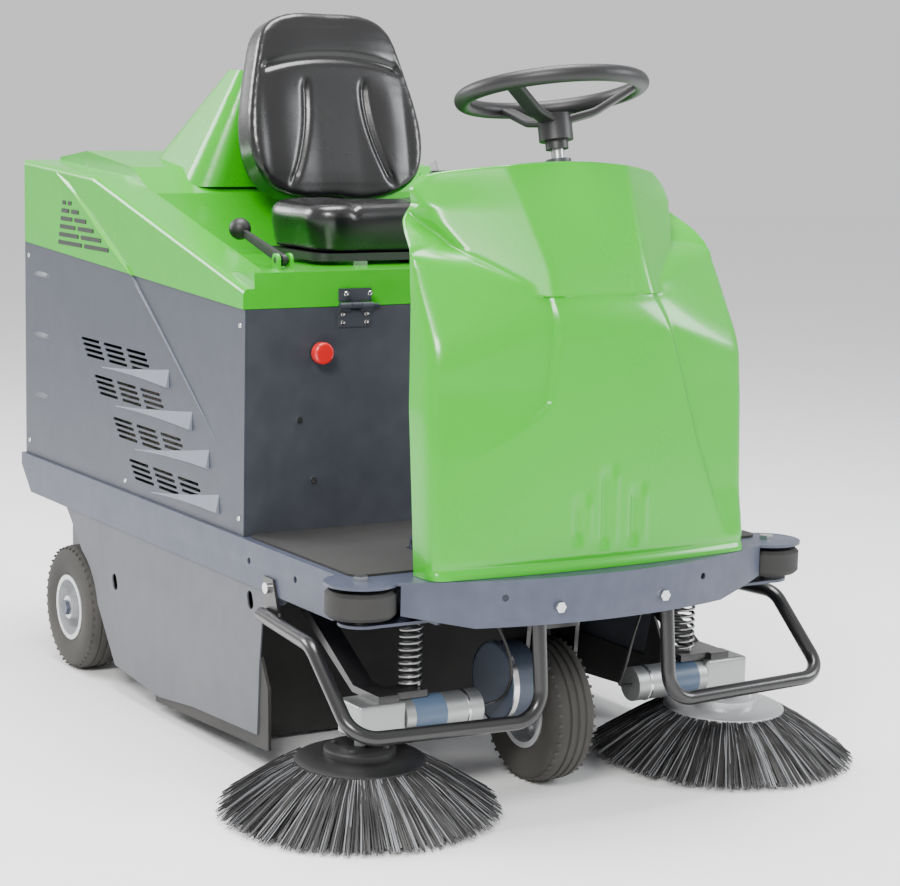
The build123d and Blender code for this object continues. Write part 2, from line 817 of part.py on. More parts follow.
with BuildPart() as rear_panel:
    with BuildSketch(front_plane(body_rear)):
        with Locations((0, (deck_z + 0.5 + seam_rear_z) / 2)):
            Rectangle(2 * inside_half, seam_rear_z - deck_z - 0.5)
    extrude(amount=panel_sheet)
rear_panel.part.label = "rear_panel"
export_step(rear_panel.part, "parts/rear_panel.step")

# ---------------------------------------------------------------- emergency stop
stop_travel = 5
with BuildPart() as emergency_stop_base:
    with BuildSketch(front_plane(body_front)):
        with Locations((stop_x, stop_z)):
            Circle(18)
            Circle(stop_bore, mode=Mode.SUBTRACT)
    extrude(amount=6)
emergency_stop_base.part.label = "emergency_stop_base"
export_step(emergency_stop_base.part, "parts/emergency_stop_base.step")

with BuildPart() as emergency_stop_button:
    with BuildSketch(front_plane(body_front + 30)):
        with Locations((stop_x, stop_z)):
            Circle(stop_bore - 0.1)
    extrude(amount=42)
    with BuildSketch(front_plane(body_front - 6 - stop_travel - 1)):
        with Locations((stop_x, stop_z)):
            Circle(20)
    extrude(amount=16)
    fillet(emergency_stop_button.faces().sort_by(Axis.Y)[0].edges(), 6)
emergency_stop_button.part.label = "emergency_stop_button"
export_step(emergency_stop_button.part, "parts/emergency_stop_button.step")

# ---------------------------------------------------------------- battery and dust filter
with BuildPart() as battery_pack:
    with Locations((0, 20, deck_z + 130)):
        Box(560, 360, 260)
    chamfer(battery_pack.faces().sort_by(Axis.Z)[-1].edges(), 4)
    with GridLocations(140, 180, 4, 2):
        with Locations((0, 20, deck_z + 260 + 8)):
            Cylinder(9, 16)
battery_pack.part.label = "battery_pack"
export_step(battery_pack.part, "parts/battery_pack.step")

filter_y = hopper_front + 365
pleat = 20
with BuildPart() as dust_filter:
    with Locations((0, filter_y, deck_z + 110)):
        Box(filter_opening[0] + 40, filter_opening[1] + 40, 220)
    with Locations((0, filter_y, deck_z + 30)):
        with GridLocations(2 * pleat, 0, 13, 1):
            Box(pleat, filter_opening[1] - 20, 60, mode=Mode.SUBTRACT)
dust_filter.part.label = "dust_filter"
export_step(dust_filter.part, "parts/dust_filter.step")

# ---------------------------------------------------------------- hopper that slides out to the rear
with BuildPart() as hopper:
    with BuildSketch(side_plane(-hopper_half)):
        with BuildLine():
            Polyline(
                (hopper_front, hopper_floor + 15),
                (hopper_front + 60, hopper_floor),
                (hopper_rear, hopper_floor),
                (hopper_rear, hopper_top),
                (hopper_front, hopper_top),
                close=True,
            )
        make_face()
    extrude(amount=2 * hopper_half)
    offset(amount=-hopper_wall, openings=hopper.faces().sort_by(Axis.Z)[-1])
    # the front wall is low, so that the brush can throw the dirt in
    with Locations((0, hopper_front, (hopper_top + hopper_floor) / 2 + 60)):
        Box(2 * (hopper_half - hopper_wall), 40, hopper_top - hopper_floor - 60, mode=Mode.SUBTRACT)
    for way in sides.values():
        with Locations((way * (hopper_half + 4), (hopper_front + hopper_rear) / 2, hopper_top + 2)):
            Box(14, hopper_rear - hopper_front - 4, 4)
    with BuildLine() as grip_line:
        FilletPolyline(
            (-90, hopper_rear - 2, 300),
            (-90, hopper_rear + 11, 300),
            (90, hopper_rear + 11, 300),
            (90, hopper_rear - 2, 300),
            radius=8,
        )
    with BuildSketch(Plane(origin=grip_line.line @ 0, z_dir=grip_line.line % 0)):
        Circle(5)
    sweep(path=grip_line.line)
hopper.part.label = "hopper"
export_step(hopper.part, "parts/hopper.step")

# ---------------------------------------------------------------- main brush and its motor
brush_axis_height = main_brush_z
with BuildPart() as main_brush:
    with BuildSketch(side_plane(-main_brush_half)):
        with Locations((main_brush_y, brush_axis_height)):
            Circle(main_brush_radius)
    extrude(amount=2 * main_brush_half)
    with BuildSketch(side_plane(-brush_cheek_right - cheek_sheet - 4)):
        with Locations((main_brush_y, brush_axis_height)):
            Circle(main_shaft_radius)
    extrude(amount=2 * (brush_cheek_right + cheek_sheet + 4))
main_brush.part.label = "main_brush"
export_step(main_brush.part, "parts/main_brush.step")

main_motor_length = flap_outer - flap_sheet - brush_cheek_right - cheek_sheet - 4
with BuildPart() as main_brush_motor:
    with BuildSketch(side_plane(brush_cheek_right + cheek_sheet)):
        with Locations((main_brush_y, brush_axis_height)):
            Circle(62)
    extrude(amount=main_motor_length)
    with BuildSketch(side_plane(brush_cheek_right + cheek_sheet)):
        with Locations((main_brush_y, brush_axis_height)):
            Circle(main_shaft_radius + 2)
    extrude(amount=8, mode=Mode.SUBTRACT)
    fillet(main_brush_motor.faces().sort_by(Axis.X)[-1].edges(), 6)
main_brush_motor.part.label = "main_brush_motor"
export_step(main_brush_motor.part, "parts/main_brush_motor.step")

# ---------------------------------------------------------------- side brushes, motors, arms, springs
hub_bore = 10
plate_radius = 112
plate_height = 88
tuft = 34
for side, way in sides.items():
    ground = brush_plane(side)
    upright = Plane(origin=ground.origin, x_dir=ground.x_dir, z_dir=ground.x_dir.cross(ground.z_dir))
    spin = Axis(ground.origin, ground.z_dir)
    with BuildPart() as side_brush:
        with BuildSketch(upright):
            with BuildLine():
                Polyline(
                    (0, brush_hub_z),
                    (brush_hub_radius, brush_hub_z),
                    (brush_hub_radius + 6, brush_hub_z - 14),
                    (plate_radius, plate_height),
                    (brush_radius, 12),
                    (brush_radius - 4, 3),
                    (brush_radius - tuft, 0),
                    (plate_radius - 30, plate_height - 24),
                    (0, plate_height - 24),
                    close=True,
                )
            make_face()
        revolve(axis=spin)
    side_brush.part.label = f"side_brush_{side}"
    export_step(side_brush.part, f"parts/side_brush_{side}.step")

    with BuildPart() as brush_motor:
        with Locations((way * (gearbox_x + gearbox_outer_x) / 2, brush_y, motor_z)):
            Box(gearbox_outer_x - gearbox_x, 78, 62)
        fillet(brush_motor.edges(), 6)
        with BuildSketch(side_plane(way * gearbox_x)):
            with Locations((motor_y, motor_z - 1)):
                Circle(motor_radius)
        extrude(amount=-way * (gearbox_x - motor_end_x))
        with BuildSketch(ground.offset(brush_hub_z + 0.5)):
            Circle(hub_bore)
        extrude(amount=30)
    brush_motor.part.label = f"brush_motor_{side}"
    export_step(brush_motor.part, f"parts/brush_motor_{side}.step")

    with BuildPart() as brush_arm:
        with BuildSketch(side_plane(way * arm_x - arm_width / 2)):
            with BuildLine():
                Polyline(
                    (brush_y - 34, motor_z + 31),
                    (brush_y + 60, motor_z + 31),
                    (arm_pivot_y - 20, arm_pivot_z - 22),
                    (arm_pivot_y - 6, arm_pivot_z - 5),
                    (arm_pivot_y - 26, arm_pivot_z - 2),
                    (brush_y + 56, motor_z + 43),
                    (brush_y - 34, motor_z + 43),
                    close=True,
                )
            make_face()
        extrude(amount=arm_width)
        with Locations((way * arm_x, arm_pivot_y, arm_pivot_z)):
            Cylinder(arm_pin_radius + 10, 72, rotation=(0, 90, 0))
            Cylinder(arm_pin_radius + running_gap, 80, rotation=(0, 90, 0), mode=Mode.SUBTRACT)
        # seat of the lifting spring
        with Locations((way * (spring_x + 20), brush_y, motor_z + 37)):
            Box(2 * spring_radius + 40, 2 * spring_radius + 6, 12)
    brush_arm.part.label = f"brush_arm_{side}"
    export_step(brush_arm.part, f"parts/brush_arm_{side}.step")

    spring_bottom = motor_z + 43
    turns = 9
    pitch = (rim_top - spring_bottom) / turns
    with BuildPart() as arm_spring:
        with BuildSketch(front_plane(brush_y)):
            with BuildLine():
                profile = [(way * spring_x, spring_bottom)]
                for turn in range(turns):
                    base = spring_bottom + turn * pitch
                    profile.append((way * (spring_x + spring_radius - 5), base))
                    profile.append((way * (spring_x + spring_radius), base + pitch / 2))
                profile.append((way * (spring_x + spring_radius - 5), rim_top))
                profile.append((way * spring_x, rim_top))
                Polyline(*profile, close=True)
            make_face()
        revolve(axis=Axis((way * spring_x, brush_y, 0), (0, 0, 1)))
    arm_spring.part.label = f"arm_spring_{side}"
    export_step(arm_spring.part, f"parts/arm_spring_{side}.step")

# ---------------------------------------------------------------- hood over the battery, with the seat on it
hood_bottom_front = seam_front_z + seam_gap
hood_bottom_rear = seam_rear_z + seam_gap
crease_front = 866
crease_mid = (456, 1034)
crease_rear = 1052
ridge_inner = 350
front_band = 894
hump_bottom = 1046
hump_top = 1250
hood_round = 11
gully_start = 292
gully_end = (356, 1004)


def hood_form(inset):
    """The hood's outside, or with the wall's thickness, the room inside it."""
    low = 60 if inset else 0
    half = hood_half - inset
    front = body_front + inset
    rear = body_rear - inset
    centre_half = ridge_inner - inset if inset else ridge_inner + 1
    with BuildPart() as form:
        for way in sides.values():
            start = way * half if way < 0 else ridge_inner + inset
            with BuildSketch(side_plane(start)):
                with BuildLine():
                    Polyline(
                        (front, hood_bottom_front - low),
                        (rear, hood_bottom_rear - low),
                        (rear, crease_rear - inset),
                        (crease_mid[0], crease_mid[1] - inset),
                        (front, crease_front - inset),
                        close=True,
                    )
                make_face()
            extrude(amount=half - ridge_inner - inset)
        with BuildSketch(side_plane(-half + 22)):
            with BuildLine():
                Polyline(
                    (front, hood_bottom_front - low),
                    (gully_end[0] + 8, hood_bottom_front - low),
                    (gully_end[0] + 8, seat_deck_z - inset),
                    (front + 30, seat_deck_z - inset),
                    (front + 22, front_band - inset),
                    (front, front_band - inset),
                    close=True,
                )
            make_face()
        extrude(amount=2 * half - 44)
        with BuildSketch(side_plane(-centre_half)):
            with BuildLine():
                Polyline(
                    (gully_start + inset, hood_bottom_front - low),
                    (rear, hood_bottom_rear - low),
                    (rear, crease_rear + 6 - inset),
                    (690, 1076 - inset),
                    (crease_mid[0], 1052 - inset),
                    (gully_end[0] + inset, gully_end[1] - inset),
                    (gully_start + inset, seat_deck_z - inset),
                    close=True,
                )
            make_face()
        extrude(amount=2 * centre_half)
        # the hump behind the seat back
        with BuildSketch(Plane.XY.offset(hump_bottom - 30)):
            with Locations((0, 520)):
                RectangleRounded(2 * (255 - inset), 320 - 2 * inset, 60)
        with BuildSketch(Plane.XY.offset(hump_top - inset)):
            with Locations((0, 402)):
                RectangleRounded(2 * (150 - inset), 92 - 2 * inset, 30)
        loft()
    return form.part


lever_x = -300
lever_pivot_y = -115
lever_pivot_z = seat_deck_z + 16
lever_pin = 6
lever_arm_half = 9
with BuildPart() as hood:
    add(hood_form(0))
    outer_edges = hood.edges().filter_by(lambda edge: edge.center().Z > 900)
    outer_edges = outer_edges.filter_by(lambda edge: abs(abs(edge.center().X) - hood_half) < 1)
    fillet(outer_edges, hood_round)
    add(hood_form(hood_wall), mode=Mode.SUBTRACT)
    for way in (-1, 1):
        with BuildSketch(side_plane(lever_x + way * (lever_arm_half + 4) - 3)):
            with Locations((lever_pivot_y, lever_pivot_z)):
                Circle(13)
            with Locations((lever_pivot_y, (lever_pivot_z + seat_deck_z) / 2)):
                Rectangle(26, lever_pivot_z - seat_deck_z)
            with Locations((lever_pivot_y, lever_pivot_z)):
                Circle(lever_pin + running_gap, mode=Mode.SUBTRACT)
        extrude(amount=6)
hood.part.label = "hood"
export_step(hood.part, "parts/hood.step")

with BuildPart() as lift_lever:
    with BuildSketch(side_plane(lever_x - lever_arm_half / 2)):
        with BuildLine():
            Polyline(
                (lever_pivot_y - 4, lever_pivot_z + 9),
                (lever_pivot_y + 4, lever_pivot_z - 9),
                (lever_pivot_y + 172, lever_pivot_z + 36),
                (lever_pivot_y + 170, lever_pivot_z + 48),
                close=True,
            )
        make_face()
        with Locations((lever_pivot_y, lever_pivot_z)):
            Circle(11)
    extrude(amount=lever_arm_half)
    with BuildSketch(side_plane(lever_x - lever_arm_half - 6)):
        with Locations((lever_pivot_y, lever_pivot_z)):
            Circle(lever_pin)
    extrude(amount=2 * (lever_arm_half + 6))
    with Locations((lever_x, lever_pivot_y + 178, lever_pivot_z + 46)):
        Sphere(21)
lift_lever.part.label = "lift_lever"
export_step(lift_lever.part, "parts/lift_lever.step")

# ---------------------------------------------------------------- hinges between the front panel and the hood
hinge_y = body_front - 7.5
hinge_z = seam_front_z + 2
hinge_inner = 178
hinge_outer = 245
hinge_sheet = 3
knuckle = 6
pin_radius = 3
leaf_height = 31
third = (hinge_outer - hinge_inner) / 3
with BuildPart() as hood_hinge_lower:
    for way in sides.values():
        with BuildSketch(front_plane(body_front)):
            with Locations((way * (hinge_inner + hinge_outer) / 2, hinge_z - 8 - leaf_height / 2)):
                Rectangle(hinge_outer - hinge_inner, leaf_height)
        extrude(amount=hinge_sheet)
        for start in (hinge_inner, hinge_outer - third + 0.5):
            with BuildSketch(side_plane(way * start)):
                with Locations((hinge_y, hinge_z)):
                    Circle(knuckle)
                with Locations((hinge_y + 3, hinge_z - 5)):
                    Rectangle(6, 10)
                with Locations((hinge_y, hinge_z)):
                    Circle(pin_radius + running_gap, mode=Mode.SUBTRACT)
            extrude(amount=way * (third - 0.5))
hood_hinge_lower.part.label = "hood_hinge_lower"
export_step(hood_hinge_lower.part, "parts/hood_hinge_lower.step")

with BuildPart() as hood_hinge_upper:
    for way in sides.values():
        with BuildSketch(front_plane(body_front)):
            with Locations((way * (hinge_inner + hinge_outer) / 2, hinge_z + 8 + leaf_height / 2 - 4)):
                Rectangle(hinge_outer - hinge_inner, leaf_height - 8)
        extrude(amount=hinge_sheet)
        with BuildSketch(side_plane(way * (hinge_inner + third + 0.5))):
            with Locations((hinge_y, hinge_z)):
                Circle(knuckle)
            with Locations((hinge_y + 5, hinge_z + 6)):
                Rectangle(5, 12)
        extrude(amount=way * (third - 1))
        with BuildSketch(side_plane(way * (hinge_inner - 14))):
            with Locations((hinge_y, hinge_z)):
                Circle(pin_radius)
        extrude(amount=way * (hinge_outer - hinge_inner + 16))
hood_hinge_upper.part.label = "hood_hinge_upper"
export_step(hood_hinge_upper.part, "parts/hood_hinge_upper.step")

# ---------------------------------------------------------------- seat
rail_x = 120
rail_width = 30
rail_rise = 8
pan_z = seat_deck_z + rail_rise + 0.3
pan_front = -76
pan_rear = 150
pan_sheet = 14
back_bottom = Vector(0, 199, 987)
back_thick = 70
lean = tan(radians(back_lean))
with BuildPart() as seat_rails:
    for way in sides.values():
        with Locations((way * rail_x, 60, seat_deck_z + rail_rise / 2)):
            Box(rail_width, 290, rail_rise)
seat_rails.part.label = "seat_rails"
export_step(seat_rails.part, "parts/seat_rails.step")

bracket_rise = 165
bracket_y = back_bottom.Y + back_thick / cos(radians(back_lean)) - (back_bottom.Z - pan_z) * lean
with BuildPart() as seat_base:
    with Locations((0, (pan_front + pan_rear) / 2, pan_z + pan_sheet / 2)):
        Box(2 * 205, pan_rear - pan_front, pan_sheet)
    fillet(seat_base.edges().filter_by(Axis.Z), 30)
    with BuildSketch(side_plane(-30)):
        with BuildLine():
            Polyline(
                (pan_rear - 40, pan_z + 2),
                (bracket_y + 9, pan_z + 2),
                (bracket_y + 9 + (bracket_rise + 80) * lean, pan_z + bracket_rise + 80),
                (bracket_y + 1 + (bracket_rise + 80) * lean, pan_z + bracket_rise + 80),
                (bracket_y + 1 + 8 * lean, pan_z + 10),
                (pan_rear - 40, pan_z + 10),
                close=True,
            )
        make_face()
    extrude(amount=60)
seat_base.part.label = "seat_base"
export_step(seat_base.part, "parts/seat_base.step")

with BuildPart() as seat_cushion:
    with BuildSketch(Plane.XY.offset(cushion_bottom)):
        with Locations((0, (seat_front + cushion_rear) / 2)):
            RectangleRounded(2 * (seat_half - 12), cushion_rear - seat_front - 16, 50)
    with BuildSketch(Plane.XY.offset(cushion_top - 30)):
        with Locations((0, (seat_front + cushion_rear) / 2)):
            RectangleRounded(2 * seat_half, cushion_rear - seat_front, 60)
    loft()
    with BuildSketch(Plane.XY.offset(cushion_top - 30)):
        with Locations((0, (seat_front + cushion_rear) / 2)):
            RectangleRounded(2 * seat_half, cushion_rear - seat_front, 60)
    extrude(amount=30)
    fillet(seat_cushion.faces().sort_by(Axis.Z)[-1].edges(), 22)
seat_cushion.part.label = "seat_cushion"
export_step(seat_cushion.part, "parts/seat_cushion.step")

back_up = Vector(0, sin(radians(back_lean)), cos(radians(back_lean)))
back_plane = Plane(origin=back_bottom, x_dir=(1, 0, 0), z_dir=Vector(1, 0, 0).cross(back_up))
back_outline = [(0, 0), (110, 4), (184, 46), (208, 115), (201, 214), (174, 317), (142, 380), (80, 406), (0, 409)]
with BuildPart() as seat_backrest:
    with BuildSketch(back_plane):
        with BuildLine():
            Spline(*back_outline, *[(-x, v) for x, v in reversed(back_outline[1:-1])], periodic=True)
        make_face()
    extrude(amount=-back_thick)
    fillet(seat_backrest.edges().filter_by(GeomType.BSPLINE), 14)
seat_backrest.part.label = "seat_backrest"
export_step(seat_backrest.part, "parts/seat_backrest.step")

# ---------------------------------------------------------------- cowl: body, shoulders and console
cowl_wall = 4
cowl_rear_low = -650
cowl_rear_top = -575
cowl_half = 328
cowl_corner = (303, -702)
cowl_front = -741
neck = Vector(103, -722, 886)
neck_bulge = 8
console_corner = Vector(185, -568, 1092)
console_side = Vector(264, -524, 1078)
console_lip_y = -598
console_rear = -500
wing_tip = Vector(318, -578, 985)
shoulder_corner = Vector(304, -702, 790)
console_top = 1106
cowl_foot = deck_z + 0.5


def shoulder_plane(way, inset):
    """The sloping plane of one shoulder, moved inwards by an inset and facing outwards."""
    points = [Vector(way * spot.X, spot.Y, spot.Z) for spot in (neck, wing_tip, shoulder_corner)]
    normal = (points[1] - points[0]).cross(points[2] - points[0]).normalized()
    if normal.Y > 0:
        normal = normal * -1
    return Plane(origin=points[0] - normal * inset, z_dir=normal)


def console_section(height, front_half, front_y, bulge, side_half, side_y, inset):
    """One level section of the console: a bulged front, two facets and square sides."""
    front = front_y + inset
    with BuildSketch(Plane.XY.offset(height)) as section:
        with BuildLine():
            Polyline(
                (-front_half, front),
                (-side_half + inset, side_y + inset),
                (-side_half + inset, console_rear + 40),
                (side_half - inset, console_rear + 40),
                (side_half - inset, side_y + inset),
                (front_half, front),
            )
            ThreePointArc((front_half, front), (0, front - bulge), (-front_half, front))
        make_face()
    return section.sketch


def cowl_form(inset):
    """The cowl's outside, or with the wall's thickness, the room behind it: body and console."""
    foot = cowl_foot - (30 if inset else 0)
    back = 60 if inset else 0
    lip = console_corner.Y - console_lip_y
    slope = Vector(0, console_lip_y - neck.Y + neck_bulge, console_top - neck.Z)
    front_face = Plane(origin=neck, x_dir=(1, 0, 0), z_dir=Vector(0, -slope.Z, slope.Y).normalized())
    with BuildPart() as body:
        with BuildSketch(side_plane(-cowl_half + inset)):
            with BuildLine():
                Polyline(
                    (cowl_front - 20, foot),
                    (cowl_rear_low + back, foot),
                    (cowl_rear_low + 27 + back, 713),
                    (cowl_rear_top + 6 + back, 992),
                    (cowl_front - 20, 992),
                    close=True,
                )
            make_face()
        extrude(amount=2 * (cowl_half - inset))
        with BuildSketch(Plane.XY.offset(foot)):
            with BuildLine():
                Polyline(
                    (-cowl_corner[0], cowl_corner[1] + inset),
                    (-cowl_half + inset, cowl_rear_low),
                    (-cowl_half + inset, cowl_rear_top + 100),
                    (cowl_half - inset, cowl_rear_top + 100),
                    (cowl_half - inset, cowl_rear_low),
                    (cowl_corner[0], cowl_corner[1] + inset),
                )
                ThreePointArc(
                    (cowl_corner[0], cowl_corner[1] + inset),
                    (0, cowl_front + inset),
                    (-cowl_corner[0], cowl_corner[1] + inset),
                )
            make_face()
        extrude(amount=1000, mode=Mode.INTERSECT)
        split(bisect_by=front_face.offset(-inset), keep=Keep.BOTTOM)
        for way in sides.values():
            split(bisect_by=shoulder_plane(way, inset), keep=Keep.BOTTOM)
    with BuildPart() as console:
        low = (neck.Z, neck.X, neck.Y, neck_bulge, shoulder_corner.X + 7, -641)
        high = (console_top + 10, console_corner.X, console_corner.Y, lip, console_side.X, console_side.Y)
        add(console_section(*low, inset))
        add(console_section(*high, inset))
        loft(ruled=True)
        with BuildSketch(front_plane(console_rear)):
            with BuildLine():
                Polyline(
                    (-console_side.X, console_side.Z - inset),
                    (-console_side.X - 80, 900),
                    (-console_side.X - 80, 800),
                    (console_side.X + 80, 800),
                    (console_side.X + 80, 900),
                    (console_side.X, console_side.Z - inset),
                )
                ThreePointArc(
                    (console_side.X, console_side.Z - inset),
                    (0, console_top - inset),
                    (-console_side.X, console_side.Z - inset),
                )
            make_face()
        extrude(amount=300 + back, both=inset > 0, mode=Mode.INTERSECT)
    return body.part, console.part


with BuildPart() as front_cowl:
    outer_body, outer_console = cowl_form(0)
    inner_body, inner_console = cowl_form(cowl_wall)
    add(outer_body)
    add(outer_console)
    add(inner_body, mode=Mode.SUBTRACT)
    add(inner_console, mode=Mode.SUBTRACT)
    with BuildSketch(column_plane(column_end)):
        Circle(column_radius + 4)
    extrude(amount=column_end, mode=Mode.SUBTRACT)
front_cowl.part.label = "front_cowl"
export_step(front_cowl.part, "parts/front_cowl.step")

# ---------------------------------------------------------------- dash behind the cowl
dash_half = 210
dash_low_half = 285
dash_sheet = 4
dash_top = [(-494, 1084), (-430, 1050), (-430, 975), (-580, 905), (-600, 620), (-606, 426)]
key_x = -180
key_along = 0.5
key_radius = 9


def dash_strip(points, half):
    """A bent sheet that follows points seen from the side."""
    with BuildPart() as strip:
        with BuildSketch(side_plane(-half)):
            with BuildLine():
                Polyline(*points)
            trace(line_width=dash_sheet)
        extrude(amount=2 * half)
    return strip.part


key_spot = Vector(key_x, *(a + key_along * (b - a) for a, b in zip(dash_top[0], dash_top[1])))
dash_along = Vector(0, dash_top[1][0] - dash_top[0][0], dash_top[1][1] - dash_top[0][1]).normalized()
key_plane = Plane(origin=key_spot, x_dir=(1, 0, 0), z_dir=Vector(1, 0, 0).cross(dash_along))
with BuildPart() as dash_panel:
    add(dash_strip(dash_top[:4], dash_half))
    add(dash_strip(dash_top[3:], dash_low_half))
    with BuildSketch(column_plane(column_end)):
        Circle(column_radius + 3)
    extrude(amount=column_end, mode=Mode.SUBTRACT)
    with BuildSketch(key_plane.offset(-20)):
        Circle(key_radius + running_gap)
    extrude(amount=40, mode=Mode.SUBTRACT)
dash_panel.part.label = "dash_panel"
export_step(dash_panel.part, "parts/dash_panel.step")

with BuildPart() as ignition_key:
    with BuildSketch(key_plane.offset(-14)):
        Circle(key_radius)
    extrude(amount=18)
    with BuildSketch(key_plane.offset(4)):
        Circle(key_radius + 3)
    extrude(amount=4)
    with BuildSketch(key_plane.offset(8)):
        Rectangle(4, 18)
    extrude(amount=26)
ignition_key.part.label = "ignition_key"
export_step(ignition_key.part, "parts/ignition_key.step")

# ---------------------------------------------------------------- drive pedal
pedal_rise = 24
pedal_length = 130
pedal_direction = Vector(0, -cos(radians(pedal_rise)), sin(radians(pedal_rise)))
pedal_plane = Plane(
    origin=(pedal_x, pedal_hinge_y, pedal_hinge_z),
    x_dir=pedal_direction,
    z_dir=(-1, 0, 0),
)
with BuildPart() as drive_pedal:
    with BuildSketch(pedal_plane.offset(-40)):
        with Locations((pedal_length / 2, 0)):
            Rectangle(pedal_length, 8)
        Circle(9)
    extrude(amount=80)
    with BuildSketch(pedal_plane.offset(-52)):
        Circle(pedal_pin)
    extrude(amount=104)
drive_pedal.part.label = "drive_pedal"
export_step(drive_pedal.part, "parts/drive_pedal.step")

# ---------------------------------------------------------------- leads of the side brush motors
lead_radius = 2.5
lead_routes = {
    side: [
        Vector(way * 188, -640, rim_top),
        Vector(way * 188, -640, rim_top - 27),
        Vector(way * 172, -643, 348),
        Vector(way * 148, -648, 308),
        Vector(way * 130, -652, 266),
        Vector(way * 122, -649, 226),
        Vector(way * 122, -636, 194),
        Vector(way * 126, -618, 174),
        Vector(way * 143, motor_y - 5, motor_z),
        Vector(way * motor_end_x, motor_y - 5, motor_z),
    ]
    for side, way in sides.items()
}


def bend_radii(points):
    """For each corner, 0.45 of its shorter run over the tangent of half its turn."""
    radii = []
    for before, here, after in zip(points, points[1:], points[2:]):
        turn = radians((here - before).get_angle(after - here))
        radii.append(0.45 * min((here - before).length, (after - here).length) / tan(turn / 2))
    return radii


for side in sides:
    radii = bend_radii(lead_routes[side])
    print(f"motor_lead_{side} bends", [round(radius) for radius in radii])
    with BuildPart() as motor_lead:
        with BuildLine() as run:
            FilletPolyline(*lead_routes[side], radius=radii)
        with BuildSketch(Plane(origin=run.line @ 0, z_dir=run.line % 0)):
            Circle(lead_radius)
        sweep()
    motor_lead.part.label = f"motor_lead_{side}"
    export_step(motor_lead.part, f"parts/motor_lead_{side}.step")
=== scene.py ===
import json
import bmesh
import bpy
import numpy as np
from math import cos, pi, radians, sin
from mathutils import Matrix, Vector


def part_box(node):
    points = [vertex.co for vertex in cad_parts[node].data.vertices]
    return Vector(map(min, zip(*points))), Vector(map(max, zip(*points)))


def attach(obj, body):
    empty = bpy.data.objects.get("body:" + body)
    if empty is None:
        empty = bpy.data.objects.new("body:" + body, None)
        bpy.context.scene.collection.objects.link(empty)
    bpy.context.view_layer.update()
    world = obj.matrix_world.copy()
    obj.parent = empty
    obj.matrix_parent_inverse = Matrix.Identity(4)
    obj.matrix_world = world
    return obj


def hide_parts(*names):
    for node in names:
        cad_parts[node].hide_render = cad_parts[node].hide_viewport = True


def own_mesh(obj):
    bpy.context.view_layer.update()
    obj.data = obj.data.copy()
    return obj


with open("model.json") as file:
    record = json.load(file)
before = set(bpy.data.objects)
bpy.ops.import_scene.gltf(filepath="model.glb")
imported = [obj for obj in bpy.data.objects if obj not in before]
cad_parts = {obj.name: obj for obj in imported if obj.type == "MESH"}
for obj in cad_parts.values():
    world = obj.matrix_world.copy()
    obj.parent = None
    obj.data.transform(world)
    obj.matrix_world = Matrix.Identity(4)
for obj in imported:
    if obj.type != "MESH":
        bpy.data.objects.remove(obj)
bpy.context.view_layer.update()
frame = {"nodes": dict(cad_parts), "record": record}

scene = bpy.context.scene
nodes = frame["nodes"]
sides = {"right": -1, "left": 1}

cameraSet = {
    "lens": 95.27,
    "sensor": 36.0,
    "place": (-2.2994, -4.0144, 1.24205),
    "right": (0.85630505, -0.5160594, 0.02059989),
    "up": (0.06066786, 0.14011671, 0.98827462),
    "back": (-0.51289479, -0.8450148, 0.15129087),
}
cameraData = bpy.data.cameras.new("view")
cameraData.lens = cameraSet["lens"]
cameraData.sensor_width = cameraSet["sensor"]
cameraObject = bpy.data.objects.new("view", cameraData)
scene.collection.objects.link(cameraObject)
axes = Matrix((cameraSet["right"], cameraSet["up"], cameraSet["back"])).transposed().to_4x4()
cameraObject.matrix_world = Matrix.Translation(cameraSet["place"]) @ axes
scene.camera = cameraObject


def addLight(name, place, target, size, power, colour):
    light = bpy.data.lights.new(name, "AREA")
    light.shape = "RECTANGLE"
    light.size, light.size_y = size
    light.energy = power
    light.color = colour
    holder = bpy.data.objects.new(name, light)
    scene.collection.objects.link(holder)
    holder.location = place
    holder.rotation_euler = (Vector(target) - Vector(place)).to_track_quat("-Z", "Y").to_euler()
    return holder


lightSet = {  # place, target, size, power and colour
    "keyLight": ((-3.2, -3.4, 3.6), (0, -0.2, 0.6), (1.9, 1.3), 300, (1.0, 0.985, 0.96)),
    "sideLight": ((3.6, -2.6, 2.2), (0, -0.3, 0.5), (1.4, 1.8), 120, (0.95, 0.98, 1.0)),
    "topLight": ((0.0, 0.2, 4.2), (0, 0, 0.5), (2.6, 1.6), 260, (1.0, 1.0, 1.0)),
    "rimLight": ((-2.6, 3.6, 2.6), (0, 0.3, 0.8), (2.0, 1.6), 150, (1.0, 1.0, 1.0)),
}
for name, values in lightSet.items():
    addLight(name, *values)

world = bpy.data.worlds.new("studio")
world.use_nodes = True
scene.world = world
world.node_tree.nodes["Background"].inputs[0].default_value = (1.0, 1.0, 1.0, 1)
world.node_tree.nodes["Background"].inputs[1].default_value = 0.85
print("camera and light done")


def shaderGroup(name, inputs, outputs):
    group = bpy.data.node_groups.new(name, "ShaderNodeTree")
    for label, kind, value in inputs:
        socket = group.interface.new_socket(label, in_out="INPUT", socket_type=kind)
        if value is not None:
            socket.default_value = value
    for label, kind in outputs:
        group.interface.new_socket(label, in_out="OUTPUT", socket_type=kind)
    entry = group.nodes.new("NodeGroupInput")
    leave = group.nodes.new("NodeGroupOutput")
    return group, entry, leave


def node(tree, kind, **values):
    made = tree.nodes.new(kind)
    for key, value in values.items():
        setattr(made, key, value)
    return made


